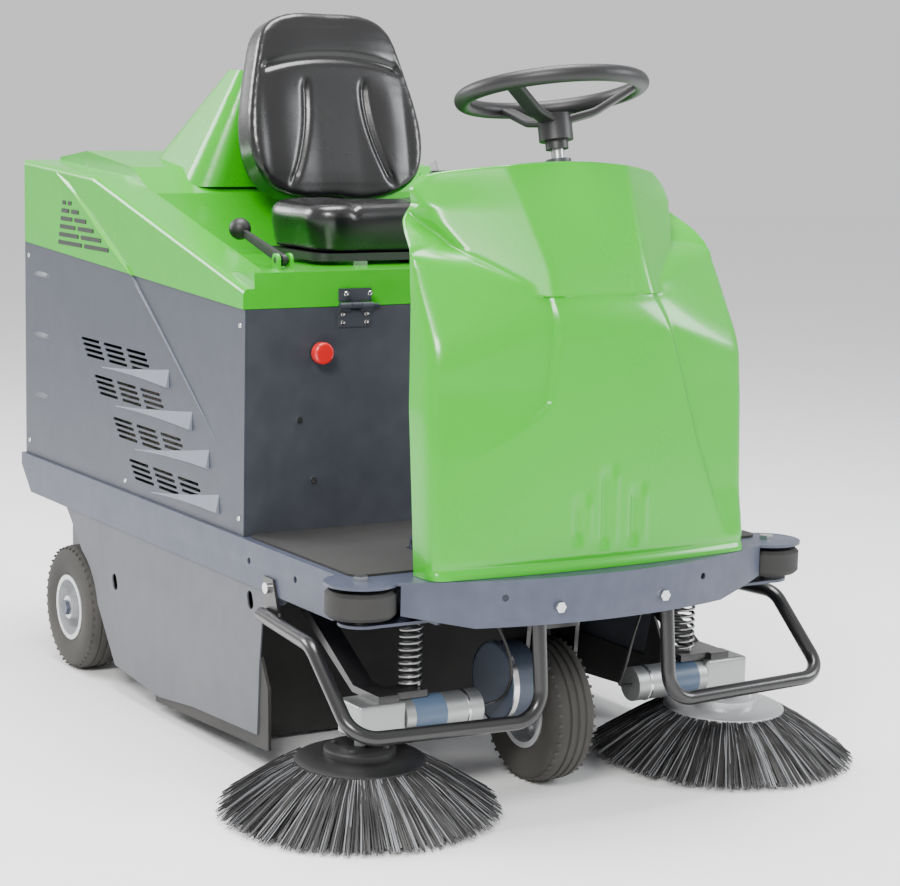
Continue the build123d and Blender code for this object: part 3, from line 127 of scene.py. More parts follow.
def grainGroup():
    group, entry, leave = shaderGroup(
        "surfaceGrain",
        [("Scale", "NodeSocketFloat", 400.0), ("Depth", "NodeSocketFloat", 0.1),
            ("Distance", "NodeSocketFloat", 0.0004)],
        [("Normal", "NodeSocketVector"), ("Value", "NodeSocketFloat")],
    )
    link = group.links.new
    place = node(group, "ShaderNodeTexCoord")
    fine = node(group, "ShaderNodeTexNoise")
    fine.inputs["Detail"].default_value = 3.0
    bump = node(group, "ShaderNodeBump")
    link(place.outputs["Object"], fine.inputs["Vector"])
    link(entry.outputs["Scale"], fine.inputs["Scale"])
    link(fine.outputs["Fac"], bump.inputs["Height"])
    link(entry.outputs["Depth"], bump.inputs["Strength"])
    link(entry.outputs["Distance"], bump.inputs["Distance"])
    link(bump.outputs["Normal"], leave.inputs["Normal"])
    link(fine.outputs["Fac"], leave.inputs["Value"])
    return group


def wearGroup():
    group, entry, leave = shaderGroup(
        "edgeWear",
        [("Amount", "NodeSocketFloat", 0.3)],
        [("Mask", "NodeSocketFloat")],
    )
    link = group.links.new
    shape = node(group, "ShaderNodeNewGeometry")
    edge = node(group, "ShaderNodeMapRange")
    edge.inputs["From Min"].default_value = 0.53
    edge.inputs["From Max"].default_value = 0.62
    place = node(group, "ShaderNodeTexCoord")
    patch = node(group, "ShaderNodeTexNoise")
    patch.inputs["Scale"].default_value = 28.0
    patch.inputs["Detail"].default_value = 4.0
    first = node(group, "ShaderNodeMath", operation="MULTIPLY")
    second = node(group, "ShaderNodeMath", operation="MULTIPLY")
    link(shape.outputs["Pointiness"], edge.inputs["Value"])
    link(place.outputs["Object"], patch.inputs["Vector"])
    link(edge.outputs["Result"], first.inputs[0])
    link(patch.outputs["Fac"], first.inputs[1])
    link(first.outputs["Value"], second.inputs[0])
    link(entry.outputs["Amount"], second.inputs[1])
    link(second.outputs["Value"], leave.inputs["Mask"])
    return group


def dustGroup():
    group, entry, leave = shaderGroup(
        "dustFilm",
        [("Amount", "NodeSocketFloat", 0.1), ("Low", "NodeSocketFloat", 0.0),
            ("High", "NodeSocketFloat", 0.5)],
        [("Mask", "NodeSocketFloat")],
    )
    link = group.links.new
    place = node(group, "ShaderNodeTexCoord")
    parts = node(group, "ShaderNodeSeparateXYZ")
    height = node(group, "ShaderNodeMapRange")
    height.inputs["To Min"].default_value = 1.0
    height.inputs["To Max"].default_value = 0.25
    cloud = node(group, "ShaderNodeTexNoise")
    cloud.inputs["Scale"].default_value = 6.0
    cloud.inputs["Detail"].default_value = 5.0
    first = node(group, "ShaderNodeMath", operation="MULTIPLY")
    second = node(group, "ShaderNodeMath", operation="MULTIPLY")
    link(place.outputs["Object"], parts.inputs["Vector"])
    link(place.outputs["Object"], cloud.inputs["Vector"])
    link(parts.outputs["Z"], height.inputs["Value"])
    link(entry.outputs["Low"], height.inputs["From Min"])
    link(entry.outputs["High"], height.inputs["From Max"])
    link(height.outputs["Result"], first.inputs[0])
    link(cloud.outputs["Fac"], first.inputs[1])
    link(first.outputs["Value"], second.inputs[0])
    link(entry.outputs["Amount"], second.inputs[1])
    link(second.outputs["Value"], leave.inputs["Mask"])
    return group


grain, wear, dust = grainGroup(), wearGroup(), dustGroup()


def srgb(red, green, blue):
    linear = []
    for level in (red / 255, green / 255, blue / 255):
        linear.append(level / 12.92 if level <= 0.04045 else ((level + 0.055) / 1.055) ** 2.4)
    return tuple(linear) + (1.0,)


def makeFinish(name, settings):
    material = bpy.data.materials.new("finish_" + name)
    material.use_nodes = True
    tree = material.node_tree
    link = tree.links.new
    surface = tree.nodes["Principled BSDF"]
    grainNode = node(tree, "ShaderNodeGroup", node_tree=grain)
    grainNode.inputs["Scale"].default_value = settings.get("grain", 500.0)
    grainNode.inputs["Depth"].default_value = settings.get("depth", 0.12)
    grainNode.inputs["Distance"].default_value = settings.get("distance", 0.0004)
    wearNode = node(tree, "ShaderNodeGroup", node_tree=wear)
    wearNode.inputs["Amount"].default_value = settings.get("wear", 0.3)
    dustNode = node(tree, "ShaderNodeGroup", node_tree=dust)
    dustNode.inputs["Amount"].default_value = settings.get("dust", 0.06)
    place = node(tree, "ShaderNodeTexCoord")
    cloud = node(tree, "ShaderNodeTexNoise")
    cloud.inputs["Scale"].default_value = settings.get("cloud", 9.0)
    cloud.inputs["Detail"].default_value = 4.0
    link(place.outputs["Object"], cloud.inputs["Vector"])
    tint = node(tree, "ShaderNodeMix", data_type="RGBA")
    base = settings["colour"]
    spread = settings.get("spread", 0.06)
    tint.inputs["A"].default_value = tuple(v * (1 - spread) for v in base[:3]) + (1,)
    tint.inputs["B"].default_value = tuple(min(1, v * (1 + spread)) for v in base[:3]) + (1,)
    link(cloud.outputs["Fac"], tint.inputs["Factor"])
    worn = node(tree, "ShaderNodeMix", data_type="RGBA")
    worn.inputs["B"].default_value = tuple(min(1, v * 1.6 + 0.05) for v in base[:3]) + (1,)
    link(wearNode.outputs["Mask"], worn.inputs["Factor"])
    link(tint.outputs["Result"], worn.inputs["A"])
    dusty = node(tree, "ShaderNodeMix", data_type="RGBA")
    dusty.inputs["B"].default_value = srgb(150, 145, 135)
    link(dustNode.outputs["Mask"], dusty.inputs["Factor"])
    link(worn.outputs["Result"], dusty.inputs["A"])
    link(dusty.outputs["Result"], surface.inputs["Base Color"])
    rough = node(tree, "ShaderNodeMapRange")
    rough.inputs["To Min"].default_value = settings["rough"] * 0.85
    rough.inputs["To Max"].default_value = min(1.0, settings["rough"] * 1.15)
    link(cloud.outputs["Fac"], rough.inputs["Value"])
    link(rough.outputs["Result"], surface.inputs["Roughness"])
    link(grainNode.outputs["Normal"], surface.inputs["Normal"])
    surface.inputs["Metallic"].default_value = settings.get("metal", 0.0)
    surface.inputs["Coat Weight"].default_value = settings.get("coat", 0.0)
    surface.inputs["Coat Roughness"].default_value = settings.get("coatRough", 0.1)
    return material


finishSet = {
    "bright_green_plastic": {"colour": srgb(40, 166, 10), "rough": 0.28, "coat": 0.35, "grain": 700,
        "depth": 0.05, "wear": 0.25, "dust": 0.02, "spread": 0.03},
    "blue_grey_paint": {"colour": srgb(54, 59, 70), "rough": 0.42, "grain": 900, "depth": 0.16,
        "wear": 0.35, "dust": 0.05},
    "deck_paint": {"colour": srgb(52, 58, 76), "rough": 0.4, "grain": 900, "depth": 0.14, "wear": 0.6,
        "dust": 0.05},
    "skirt_paint": {"colour": srgb(68, 72, 80), "rough": 0.45, "grain": 800, "depth": 0.14, "wear": 0.4,
        "dust": 0.12},
    "dark_paint": {"colour": srgb(44, 48, 56), "rough": 0.42, "grain": 800, "depth": 0.14, "wear": 0.45,
        "dust": 0.06},
    "black_plastic": {"colour": srgb(26, 26, 28), "rough": 0.45, "grain": 1100, "depth": 0.3, "wear": 0.3,
        "dust": 0.03},
    "black_rubber": {"colour": srgb(26, 26, 27), "rough": 0.7, "grain": 500, "depth": 0.3,
        "distance": 0.0006, "wear": 0.2, "dust": 0.12},
    "tyre_rubber": {"colour": srgb(24, 24, 25), "rough": 0.78, "grain": 420, "depth": 0.4,
        "distance": 0.0008, "wear": 0.4, "dust": 0.25},
    "silver_paint": {"colour": srgb(196, 198, 200), "rough": 0.35, "metal": 0.6, "grain": 600,
        "depth": 0.08, "dust": 0.08},
    "cast_metal": {"colour": srgb(165, 168, 168), "rough": 0.42, "metal": 0.85, "grain": 260, "depth": 0.3,
        "distance": 0.0008, "dust": 0.08},
    "steel": {"colour": srgb(160, 160, 160), "rough": 0.34, "metal": 1.0, "grain": 500, "depth": 0.1,
        "dust": 0.05},
    "bright_steel": {"colour": srgb(205, 205, 205), "rough": 0.24, "metal": 1.0, "grain": 500,
        "depth": 0.06, "dust": 0.03},
    "motor_paint": {"colour": srgb(52, 62, 78), "rough": 0.4, "grain": 500, "depth": 0.16, "wear": 0.4,
        "dust": 0.08},
    "red_plastic": {"colour": srgb(205, 24, 28), "rough": 0.25, "coat": 0.4, "grain": 700, "depth": 0.04},
    "black_vinyl": {"colour": srgb(15, 15, 17), "rough": 0.27, "coat": 0.35, "coatRough": 0.18,
        "grain": 520, "depth": 0.35, "distance": 0.0005, "wear": 0.1, "dust": 0.01},
    "brush_bristle": {"colour": srgb(30, 30, 32), "rough": 0.5, "grain": 300, "depth": 0.1, "cloud": 60.0,
        "spread": 0.5, "dust": 0.1},
    "filter_paper": {"colour": srgb(205, 200, 185), "rough": 0.9, "grain": 200, "depth": 0.4},
    "lead_cover": {"colour": srgb(18, 18, 19), "rough": 0.4, "grain": 500, "depth": 0.08},
    "gloss_black_paint": {"colour": srgb(16, 16, 19), "rough": 0.3, "coat": 0.3, "grain": 500,
        "depth": 0.06, "wear": 0.4, "dust": 0.04},
    "grey_bristle": {"colour": srgb(120, 122, 126), "rough": 0.5, "cloud": 60.0, "spread": 0.3,
        "dust": 0.05},
    "label_blank": {"colour": srgb(70, 88, 112), "rough": 0.35, "grain": 600, "depth": 0.05},
    # lighter than blue_grey_paint: painted highlight on the up-facing panel ridges and ramps
    "ridge_grey_painted_highlight": {"colour": srgb(112, 117, 128), "rough": 0.4, "grain": 900, "depth": 0.12, "dust": 0.05},
    # lighter than bright_green_plastic: painted highlight on the rounded hood ridge
    "ridge_green_painted_highlight": {"colour": srgb(86, 192, 54), "rough": 0.28, "coat": 0.35, "grain": 700, "depth": 0.05},
    # near-black boxes standing in for the hood vent slots: painted shade in the openings
    "vent_painted_shade": {"colour": srgb(20, 26, 20), "rough": 0.55, "grain": 700, "depth": 0.1},
}
finishes = {name: makeFinish(name, values) for name, values in finishSet.items()}

finishOf = {material.name: name for name, material in finishes.items()}

slotOf = {entry["node"]: entry["material_slot"] for entry in frame["record"]["subparts"]}
for name, item in nodes.items():
    item.data.materials.clear()
    item.data.materials.append(finishes[slotOf[name]])
for name in ("guard_right", "guard_left", "brush_arm_right", "brush_arm_left", "front_fork"):
    nodes[name].data.materials[0] = finishes["gloss_black_paint"]
print("finishes done")


def finishPiece(name, mesh, body, materials, sharp=32):
    order = np.zeros(len(mesh.polygons), np.int32)
    mesh.polygons.foreach_get("material_index", order)
    mesh.materials.clear()
    for material in materials:
        mesh.materials.append(finishes[material])
    if len(materials) > 1:
        mesh.polygons.foreach_set("material_index", order)
    mesh.shade_smooth()
    mesh.set_sharp_from_angle(angle=radians(sharp))
    item = bpy.data.objects.new(name, mesh)
    scene.collection.objects.link(item)
    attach(item, body)
    return item


def meshFrom(name, build):
    form = bmesh.new()
    build(form)
    bmesh.ops.recalc_face_normals(form, faces=form.faces)
    mesh = bpy.data.meshes.new(name)
    form.to_mesh(mesh)
    form.free()
    return mesh


def lathe(form, profile, frameMatrix, segments=64, closed=False):
    rings = []
    for radius, height in profile:
        if radius < 1e-6:
            rings.append([form.verts.new(frameMatrix @ Vector((0, 0, height)))])
            continue
        ring = []
        for step in range(segments):
            angle = 2 * pi * step / segments
            spot = Vector((radius * cos(angle), radius * sin(angle), height))
            ring.append(form.verts.new(frameMatrix @ spot))
        rings.append(ring)
    pairs = list(zip(rings, rings[1:]))
    if closed:
        pairs.append((rings[-1], rings[0]))
    for low, high in pairs:
        for step in range(segments):
            after = (step + 1) % segments
            if len(low) == 1 and len(high) == 1:
                continue
            if len(low) == 1:
                form.faces.new((low[0], high[after], high[step]))
            elif len(high) == 1:
                form.faces.new((low[step], low[after], high[0]))
            else:
                form.faces.new((low[step], low[after], high[after], high[step]))


def tube(form, points, radius, turns=10, closed=False):
    points = [Vector(p) for p in points]
    count = len(points)
    rings = []
    side = None
    for index, point in enumerate(points):
        before = points[index - 1] if index or closed else point
        after = points[(index + 1) % count] if index < count - 1 or closed else point
        along = (after - before).normalized()
        if side is None:
            side = along.orthogonal().normalized()
        side = (side - along * side.dot(along)).normalized()
        other = along.cross(side)
        ring = []
        for k in range(turns):
            angle = 2 * pi * k / turns
            ring.append(form.verts.new(point + (side * cos(angle) + other * sin(angle)) * radius))
        rings.append(ring)
    pairs = list(zip(rings, rings[1:]))
    if closed:
        pairs.append((rings[-1], rings[0]))
    for low, high in pairs:
        for k in range(turns):
            form.faces.new((low[k], low[(k + 1) % turns], high[(k + 1) % turns], high[k]))
    if not closed:
        form.faces.new(rings[0][::-1])
        form.faces.new(rings[-1])


def scatterGroup():
    group = bpy.data.node_groups.new("scatterPieces", "GeometryNodeTree")
    face = group.interface
    face.new_socket("Points", in_out="INPUT", socket_type="NodeSocketGeometry")
    face.new_socket("Template", in_out="INPUT", socket_type="NodeSocketObject")
    face.new_socket("Finish", in_out="INPUT", socket_type="NodeSocketMaterial")
    face.new_socket("Variation", in_out="INPUT", socket_type="NodeSocketFloat")
    face.new_socket("Seed", in_out="INPUT", socket_type="NodeSocketInt")
    face.new_socket("Pieces", in_out="OUTPUT", socket_type="NodeSocketGeometry")
    link = group.links.new
    entry = node(group, "NodeGroupInput")
    leave = node(group, "NodeGroupOutput")
    source = node(group, "GeometryNodeObjectInfo")
    turn = node(group, "GeometryNodeInputNamedAttribute", data_type="FLOAT_VECTOR")
    turn.inputs["Name"].default_value = "turn"
    size = node(group, "GeometryNodeInputNamedAttribute", data_type="FLOAT_VECTOR")
    size.inputs["Name"].default_value = "size"
    chance = node(group, "FunctionNodeRandomValue", data_type="FLOAT")
    lowest = node(group, "ShaderNodeMath", operation="SUBTRACT")
    lowest.inputs[0].default_value = 1.0
    grown = node(group, "ShaderNodeVectorMath", operation="SCALE")
    placed = node(group, "GeometryNodeInstanceOnPoints")
    real = node(group, "GeometryNodeRealizeInstances")
    coloured = node(group, "GeometryNodeSetMaterial")
    link(entry.outputs["Points"], placed.inputs["Points"])
    link(entry.outputs["Template"], source.inputs["Object"])
    link(source.outputs["Geometry"], placed.inputs["Instance"])
    link(turn.outputs["Attribute"], placed.inputs["Rotation"])
    link(entry.outputs["Variation"], lowest.inputs[1])
    link(lowest.outputs["Value"], chance.inputs[2])
    chance.inputs[3].default_value = 1.0
    link(entry.outputs["Seed"], chance.inputs["Seed"])
    link(size.outputs["Attribute"], grown.inputs[0])
    link(chance.outputs[1], grown.inputs["Scale"])
    link(grown.outputs["Vector"], placed.inputs["Scale"])
    link(placed.outputs["Instances"], real.inputs["Geometry"])
    link(real.outputs["Geometry"], coloured.inputs["Geometry"])
    link(entry.outputs["Finish"], coloured.inputs["Material"])
    link(coloured.outputs["Geometry"], leave.inputs["Pieces"])
    return group


scatter = scatterGroup()


def scatterMesh(name, places, template, finish, variation=0.0, seed=1, place=None):
    base = bpy.data.meshes.new(name)
    base.from_pydata([tuple(point) for point, turn, size in places], [], [])
    for label, column in (("turn", 1), ("size", 2)):
        attribute = base.attributes.new(label, "FLOAT_VECTOR", "POINT")
        attribute.data.foreach_set("vector", np.array([tuple(row[column]) for row in places], float).ravel())
    seedling = bpy.data.objects.new(name + "Points", base)
    pattern = bpy.data.objects.new(name + "Template", template)
    scene.collection.objects.link(seedling)
    scene.collection.objects.link(pattern)
    modifier = seedling.modifiers.new("scatter", "NODES")
    modifier.node_group = scatter
    values = {"Template": pattern, "Finish": finishes[finish], "Variation": variation, "Seed": seed}
    for socket in scatter.interface.items_tree:
        if socket.in_out == "INPUT" and socket.name in values:
            modifier[socket.identifier] = values[socket.name]
    bpy.context.view_layer.update()
    graph = bpy.context.evaluated_depsgraph_get()
    mesh = bpy.data.meshes.new_from_object(seedling.evaluated_get(graph))
    mesh.name = name
    if place is not None:
        mesh.transform(place)
    bpy.data.objects.remove(seedling)
    bpy.data.objects.remove(pattern)
    return mesh


def joinMeshes(name, meshes):
    form = bmesh.new()
    materials = []
    for mesh in meshes:
        start = len(form.faces)
        form.from_mesh(mesh)
        form.faces.ensure_lookup_table()
        names = [finishOf[m.name] for m in mesh.materials if m]
        for face in form.faces[start:]:
            label = names[min(face.material_index, len(names) - 1)]
            if label not in materials:
                materials.append(label)
            face.material_index = materials.index(label)
    mesh = bpy.data.meshes.new(name)
    form.to_mesh(mesh)
    form.free()
    return mesh, materials


floorMesh = meshFrom("floorPlane", lambda form: bmesh.ops.create_grid(form, x_segments=8, y_segments=8,
    size=14.0))
floorItem = bpy.data.objects.new("floorPlane", floorMesh)
scene.collection.objects.link(floorItem)
floorMaterial = makeFinish("floor_pale", {"colour": (0.98, 0.98, 0.98, 1), "rough": 0.6, "spread": 0.01,
    "dust": 0.0, "wear": 0.0, "depth": 0.0})
floorMesh.materials.append(floorMaterial)

edgeSet = {  # bevel width, segments and the least angle it rounds
    "hood": (0.005, 3, 20),
    "steering_column": (0.001, 2, 40),
    "seat_base": (0.002, 2, 40),
    "drive_motor": (0.002, 2, 40),
    "brush_motor_right": (0.0015, 2, 40),
    "brush_motor_left": (0.0015, 2, 40),
    "battery_pack": (0.006, 3, 40),
    "hopper": (0.0015, 2, 40),
    "chassis_frame": (0.001, 2, 40),
}
for name, (width, segments, angle) in edgeSet.items():
    rounding = nodes[name].modifiers.new("softEdges", "BEVEL")
    rounding.width = width
    rounding.segments = segments
    rounding.limit_method = "ANGLE"
    rounding.angle_limit = radians(angle)
    rounding.harden_normals = True
print("covers done")

cowlSet = {
    "foot": 0.4205, "top": 1.1055, "rows": 230, "across": 190, "side": 16, "wall": 0.004,
    "neck": 0.886, "neckFront": -0.722, "neckHalf": 0.103,  # where the shoulders leave the front face
    "width": [(0.4205, 0.3265), (0.70, 0.326), (0.807, 0.319), (0.902, 0.313), (0.960, 0.306),
        (0.985, 0.298), (1.005, 0.284), (1.018, 0.268), (1.030, 0.258), (1.060, 0.261), (1.080, 0.262),
        (1.095, 0.252), (1.1055, 0.236)],
    "rear": [(0.4205, -0.655), (0.547, -0.644), (0.713, -0.628), (0.878, -0.609), (0.960, -0.588),
        (0.985, -0.556), (1.005, -0.522), (1.020, -0.508), (1.1055, -0.506)],
    "console": [(0.886, 0.205), (0.985, 0.236), (1.007, 0.244), (1.040, 0.254), (1.078, 0.263),
        (1.1055, 0.264)],
}


def smoothMax(a, b, k):
    part = np.clip(0.5 + 0.5 * (a - b) / k, 0, 1)
    return b * (1 - part) + a * part + k * part * (1 - part)


def smoothStep(value):
    value = np.clip(value, 0, 1)
    return value * value * (3 - 2 * value)


def cowlFront(x, z):
    across = np.abs(x)
    roll = 0.019 * np.clip((z - 0.800) / 0.086, 0, None) ** 3.0
    bow = (0.020 + 0.012 * np.clip((z - 0.424) / 0.3, 0, 1)) * (across / 0.305) ** 2
    front = -0.741 + roll + bow
    edgeLeft = np.interp(z, [0.60, 0.679, 0.711, 0.812, 0.90], [-0.300, -0.152, -0.113, -0.100, -0.103])
    edgeRight = np.interp(z, [0.43, 0.457, 0.624, 0.802, 0.90], [0.300, 0.274, 0.205, 0.143, 0.103])
    inside = smoothStep((x - edgeLeft) / 0.012 + 0.5) * smoothStep((edgeRight - x) / 0.012 + 0.5)
    fade = smoothStep((z - 0.62) / 0.12) * (x < 0) + smoothStep((z - 0.44) / 0.10) * (x >= 0)
    front = front + 0.009 * (1 - inside) * fade * (z < 0.93) * smoothStep((0.915 - z) / 0.03)
    above = z - cowlSet["neck"]
    beyond = across - cowlSet["neckHalf"]
    neckFront = cowlSet["neckFront"]
    shoulder = neckFront + 0.38985 * beyond + 0.60791 * above
    wingTop = neckFront - 0.067 * beyond + 1.60 * above
    wingTop = np.where(beyond < 0, neckFront + 1.60 * above, wingTop)
    consoleHalf = np.interp(z, *zip(*cowlSet["console"]))
    consoleFace = -0.7055 + 0.585 * (z - 0.925) - 0.005 * (1 - (across / 0.17) ** 2)
    consoleFacet = neckFront + 0.644 * beyond + 0.4912 * above
    consoleSide = -0.575 + 3.2 * (across - consoleHalf)
    strip = -0.7240 + 0.44 * above
    body = smoothMax(front, shoulder, 0.020)
    body = smoothMax(body, wingTop, 0.005)
    top = smoothMax(consoleFace, consoleFacet, 0.005)
    top = smoothMax(top, consoleSide, 0.012)
    top = smoothMax(top, strip, 0.004) + 5.0 * np.clip(0.8865 - z, 0, None)  # no console below the neck
    body = -smoothMax(-body, -top, 0.004)
    for centre, low, high in ((-0.046, 0.457, 0.556), (0.008, 0.445, 0.602), (0.070, 0.447, 0.566)):
        reach = smoothStep((z - low) / 0.03) * smoothStep((high - z) / 0.03)
        ridge = np.exp(-(((x - centre - 0.012) / 0.008) ** 2))
        gully = np.exp(-(((x - centre + 0.006) / 0.010) ** 2))
        body = body + reach * (0.0055 * gully - 0.0030 * ridge)
    bead = np.exp(-(((z - 0.437) / 0.006) ** 2))
    return body + 0.0045 * bead + 0.0015 * smoothStep((z - 0.437) / 0.01)


def buildCowl(form):
    heights = np.linspace(cowlSet["foot"], cowlSet["top"], cowlSet["rows"])
    widthAt = np.interp(heights, *zip(*cowlSet["width"]))
    rearAt = np.interp(heights, *zip(*cowlSet["rear"]))
    for turn in range(3):
        widthAt[1:-1] = (widthAt[:-2] + widthAt[1:-1] + widthAt[2:]) / 3
        rearAt[1:-1] = (rearAt[:-2] + rearAt[1:-1] + rearAt[2:]) / 3
    rows = []
    for z, width, rear in zip(heights, widthAt, rearAt):
        x = np.linspace(-width, width, cowlSet["across"])
        arch = smoothStep((z - 1.02) / 0.085) * 0.030 * (np.abs(x) / 0.265) ** 2
        y = cowlFront(x, z)
        y = np.minimum(y, rear - 0.004)
        share = np.linspace(0, 1, cowlSet["side"], endpoint=False)
        left = np.stack([np.full(len(share), -width), rear + (y[0] - rear) * share], axis=1)
        right = np.stack([np.full(len(share), width), rear + (y[-1] - rear) * share], axis=1)[::-1]
        line = np.concatenate([left, np.stack([x, y], axis=1), right])
        lift = np.concatenate([np.full(len(share), arch[0]), arch, np.full(len(share), arch[-1])])
        corner = np.exp(-((np.abs(line[:, 0]) - width) / 0.030) ** 2) * (line[:, 1] < rear - 0.012)
        for turn in range(26):
            middle = line.copy()
            middle[1:-1] = (line[:-2] + line[2:]) / 2
            line = line + (middle - line) * (0.8 * corner)[:, None]
        rows.append(np.column_stack([line, z - lift]))
    last = rows[-1].copy()
    for back, drop in ((0.006, -0.0005), (0.016, 0.003), (0.030, 0.010)):
        rim = last.copy()
        rim[:, 1] = np.minimum(last[:, 1] + back, -0.5005)
        rim[:, 2] = last[:, 2] - drop
        rows.append(rim)
    grid = [[form.verts.new(tuple(point)) for point in row] for row in rows]
    for low, high in zip(grid, grid[1:]):
        for k in range(len(low) - 1):
            form.faces.new((low[k], low[k + 1], high[k + 1], high[k]))


def convert(item):
    bpy.context.view_layer.update()
    graph = bpy.context.evaluated_depsgraph_get()
    mesh = bpy.data.meshes.new_from_object(item.evaluated_get(graph))
    bpy.data.objects.remove(item)
    return mesh


cowlStart = bpy.data.objects.new("cowlStart", meshFrom("cowlSheet", buildCowl))
scene.collection.objects.link(cowlStart)
easing = cowlStart.modifiers.new("easing", "SMOOTH")
easing.factor = 0.5
easing.iterations = 1
thick = cowlStart.modifiers.new("thick", "SOLIDIFY")
thick.thickness = cowlSet["wall"]
thick.offset = -1
cowlMesh = convert(cowlStart)
middleFace = max(cowlMesh.polygons, key=lambda face: -face.center.y)
print("cowl front normal", tuple(round(v, 2) for v in middleFace.normal))
cowlItem = finishPiece("frontCowl", cowlMesh, "chassis", ["bright_green_plastic"], 60)
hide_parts("front_cowl")
print("cowl done")

# shrink: start size against the CAD solid; cap: most that a point may move; calm: rounds of evenOut
seatSet = {
    "seat_cushion": {"name": "seatCushion", "shrink": 0.965, "pressure": 4.0, "cap": 0.010, "voxel": 0.0055,
        "calm": 120},
    "seat_backrest": {"name": "seatBack", "shrink": 0.965, "pressure": 4.0, "cap": 0.010, "voxel": 0.0055,
        "calm": 120},
}
backBottom = Vector((0, 0.199, 0.987))
backUp = Vector((0, sin(radians(13.6)), cos(radians(13.6))))
backFront = Vector((0, -cos(radians(13.6)), sin(radians(13.6))))


def evenOut(mesh, shift, rounds):
    ends = np.empty(len(mesh.edges) * 2, np.int32)
    mesh.edges.foreach_get("vertices", ends)
    first, second = ends[0::2], ends[1::2]
    count = len(mesh.vertices)
    valence = np.maximum(np.bincount(ends, minlength=count), 1)
    for turn in range(rounds):  # the cloth's small folds average out, the broad swell stays
        for axis in range(3):
            line = shift[:, axis]
            total = np.bincount(first, line[second], count) + np.bincount(second, line[first], count)
            shift[:, axis] = 0.5 * line + 0.5 * total / valence
    return shift


def puff(nodeName, settings):
    mesh = nodes[nodeName].data.copy()
    low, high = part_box(nodeName)
    middle = (Vector(low) + Vector(high)) / 2
    shrink = Matrix.Scale(settings["shrink"], 4)
    mesh.transform(Matrix.Translation(middle) @ shrink @ Matrix.Translation(-middle))
    item = bpy.data.objects.new(settings["name"] + "Start", mesh)
    scene.collection.objects.link(item)
    voxels = item.modifiers.new("voxels", "REMESH")
    voxels.mode = "VOXEL"
    voxels.voxel_size = settings["voxel"]
    ease = item.modifiers.new("ease", "SMOOTH")
    ease.iterations = 6
    graph = bpy.context.evaluated_depsgraph_get()
    mesh = bpy.data.meshes.new_from_object(item.evaluated_get(graph))
    bpy.data.objects.remove(item)
    item = bpy.data.objects.new(settings["name"] + "Cloth", mesh)
    scene.collection.objects.link(item)
    start = np.array([v.co for v in mesh.vertices])
    cloth = item.modifiers.new("cloth", "CLOTH")
    cloth.settings.use_pressure = True
    cloth.settings.uniform_pressure_force = settings["pressure"]
    cloth.settings.effector_weights.gravity = 0
    cloth.settings.quality = 4
    cloth.point_cache.frame_start = 1
    cloth.point_cache.frame_end = 20
    for step in range(1, 21):
        scene.frame_set(step)
    graph = bpy.context.evaluated_depsgraph_get()
    swollen = bpy.data.meshes.new_from_object(item.evaluated_get(graph))
    moved = np.array([v.co for v in swollen.vertices]) - start
    length = np.linalg.norm(moved, axis=1)
    factor = np.minimum(1.0, settings["cap"] / np.maximum(length, 1e-9))
    shift = evenOut(mesh, moved * factor[:, None], settings["calm"])
    mesh.vertices.foreach_set("co", (start + shift).ravel())
    scene.frame_set(1)
    bpy.data.objects.remove(item)
    item = bpy.data.objects.new(settings["name"] + "Fine", mesh)
    scene.collection.objects.link(item)
    fine = item.modifiers.new("fine", "SUBSURF")
    fine.levels = 1
    graph = bpy.context.evaluated_depsgraph_get()
    mesh = bpy.data.meshes.new_from_object(item.evaluated_get(graph))
    bpy.data.objects.remove(item)
    return mesh


def groove(distance, width):
    return np.exp(-((distance / width) ** 2))


def pressIn(mesh, depthAt, direction):
    count = len(mesh.vertices)
    place = np.empty(count * 3)
    mesh.vertices.foreach_get("co", place)
    place = place.reshape(-1, 3)
    normal = np.empty(count * 3)
    mesh.vertices.foreach_get("normal", normal)
    normal = normal.reshape(-1, 3)
    facing = np.clip(normal @ np.array(direction), 0, 1)
    depth = depthAt(place, facing)
    mesh.vertices.foreach_set("co", (place - normal * depth[:, None]).ravel())


def backDepth(place, facing):
    offset = place - np.array(backBottom)
    rise = offset @ np.array(backUp)
    across = np.abs(place[:, 0])
    line = 0.066 + 0.055 * np.clip((0.23 - rise) / 0.2, 0, 1) ** 2
    channels = groove(across - line, 0.008) * smoothStep((0.262 - rise) / 0.03)
    channels = channels * smoothStep((rise - 0.03) / 0.03)
    crease = groove(rise - 0.299 + 0.9 * across**2, 0.010) * smoothStep((0.165 - across) / 0.02)
    outer = 0.152 - 0.20 * np.clip(rise - 0.24, 0, 1)
    bolster = smoothStep((across - outer) / 0.03)
    hollow = smoothStep((0.13 - across) / 0.09) * smoothStep((0.28 - rise) / 0.08)
    return facing * (0.0070 * np.maximum(channels, crease) - 0.0050 * bolster + 0.0060 * hollow)


def cushionDepth(place, facing):
    across = np.abs(place[:, 0])
    channels = groove(across - 0.128, 0.008)
    hollow = smoothStep((0.125 - across) / 0.07) * smoothStep((place[:, 1] + 0.075) / 0.08)
    return facing * (0.0060 * channels + 0.0050 * hollow)


depthSet = {
    "seat_cushion": (cushionDepth, (0, 0, 1)),
    "seat_backrest": (backDepth, tuple(backFront)),
}
for nodeName, settings in seatSet.items():
    padMesh = puff(nodeName, settings)
    depthAt, direction = depthSet[nodeName]
    pressIn(padMesh, depthAt, direction)
    pad = finishPiece(settings["name"], padMesh, "seat", ["black_vinyl"], sharp=80)
    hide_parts(nodeName)
print("seat done")

brushSet = {
    "x": 0.386, "y": -0.588, "lift": 0.00827, "leanOut": 0.013, "leanFront": 0.026,
    "tufts": 44, "perTuft": 74, "inner": 0.066, "outer": 0.108, "height": 0.088, "reach": 0.246,
    "strand": 0.0085,  # radius, as a share of the strand's reach
}


def strandTemplate(name, points, radius):
    def build(form):
        tube(form, points, radius, turns=3)
    return meshFrom(name, build)


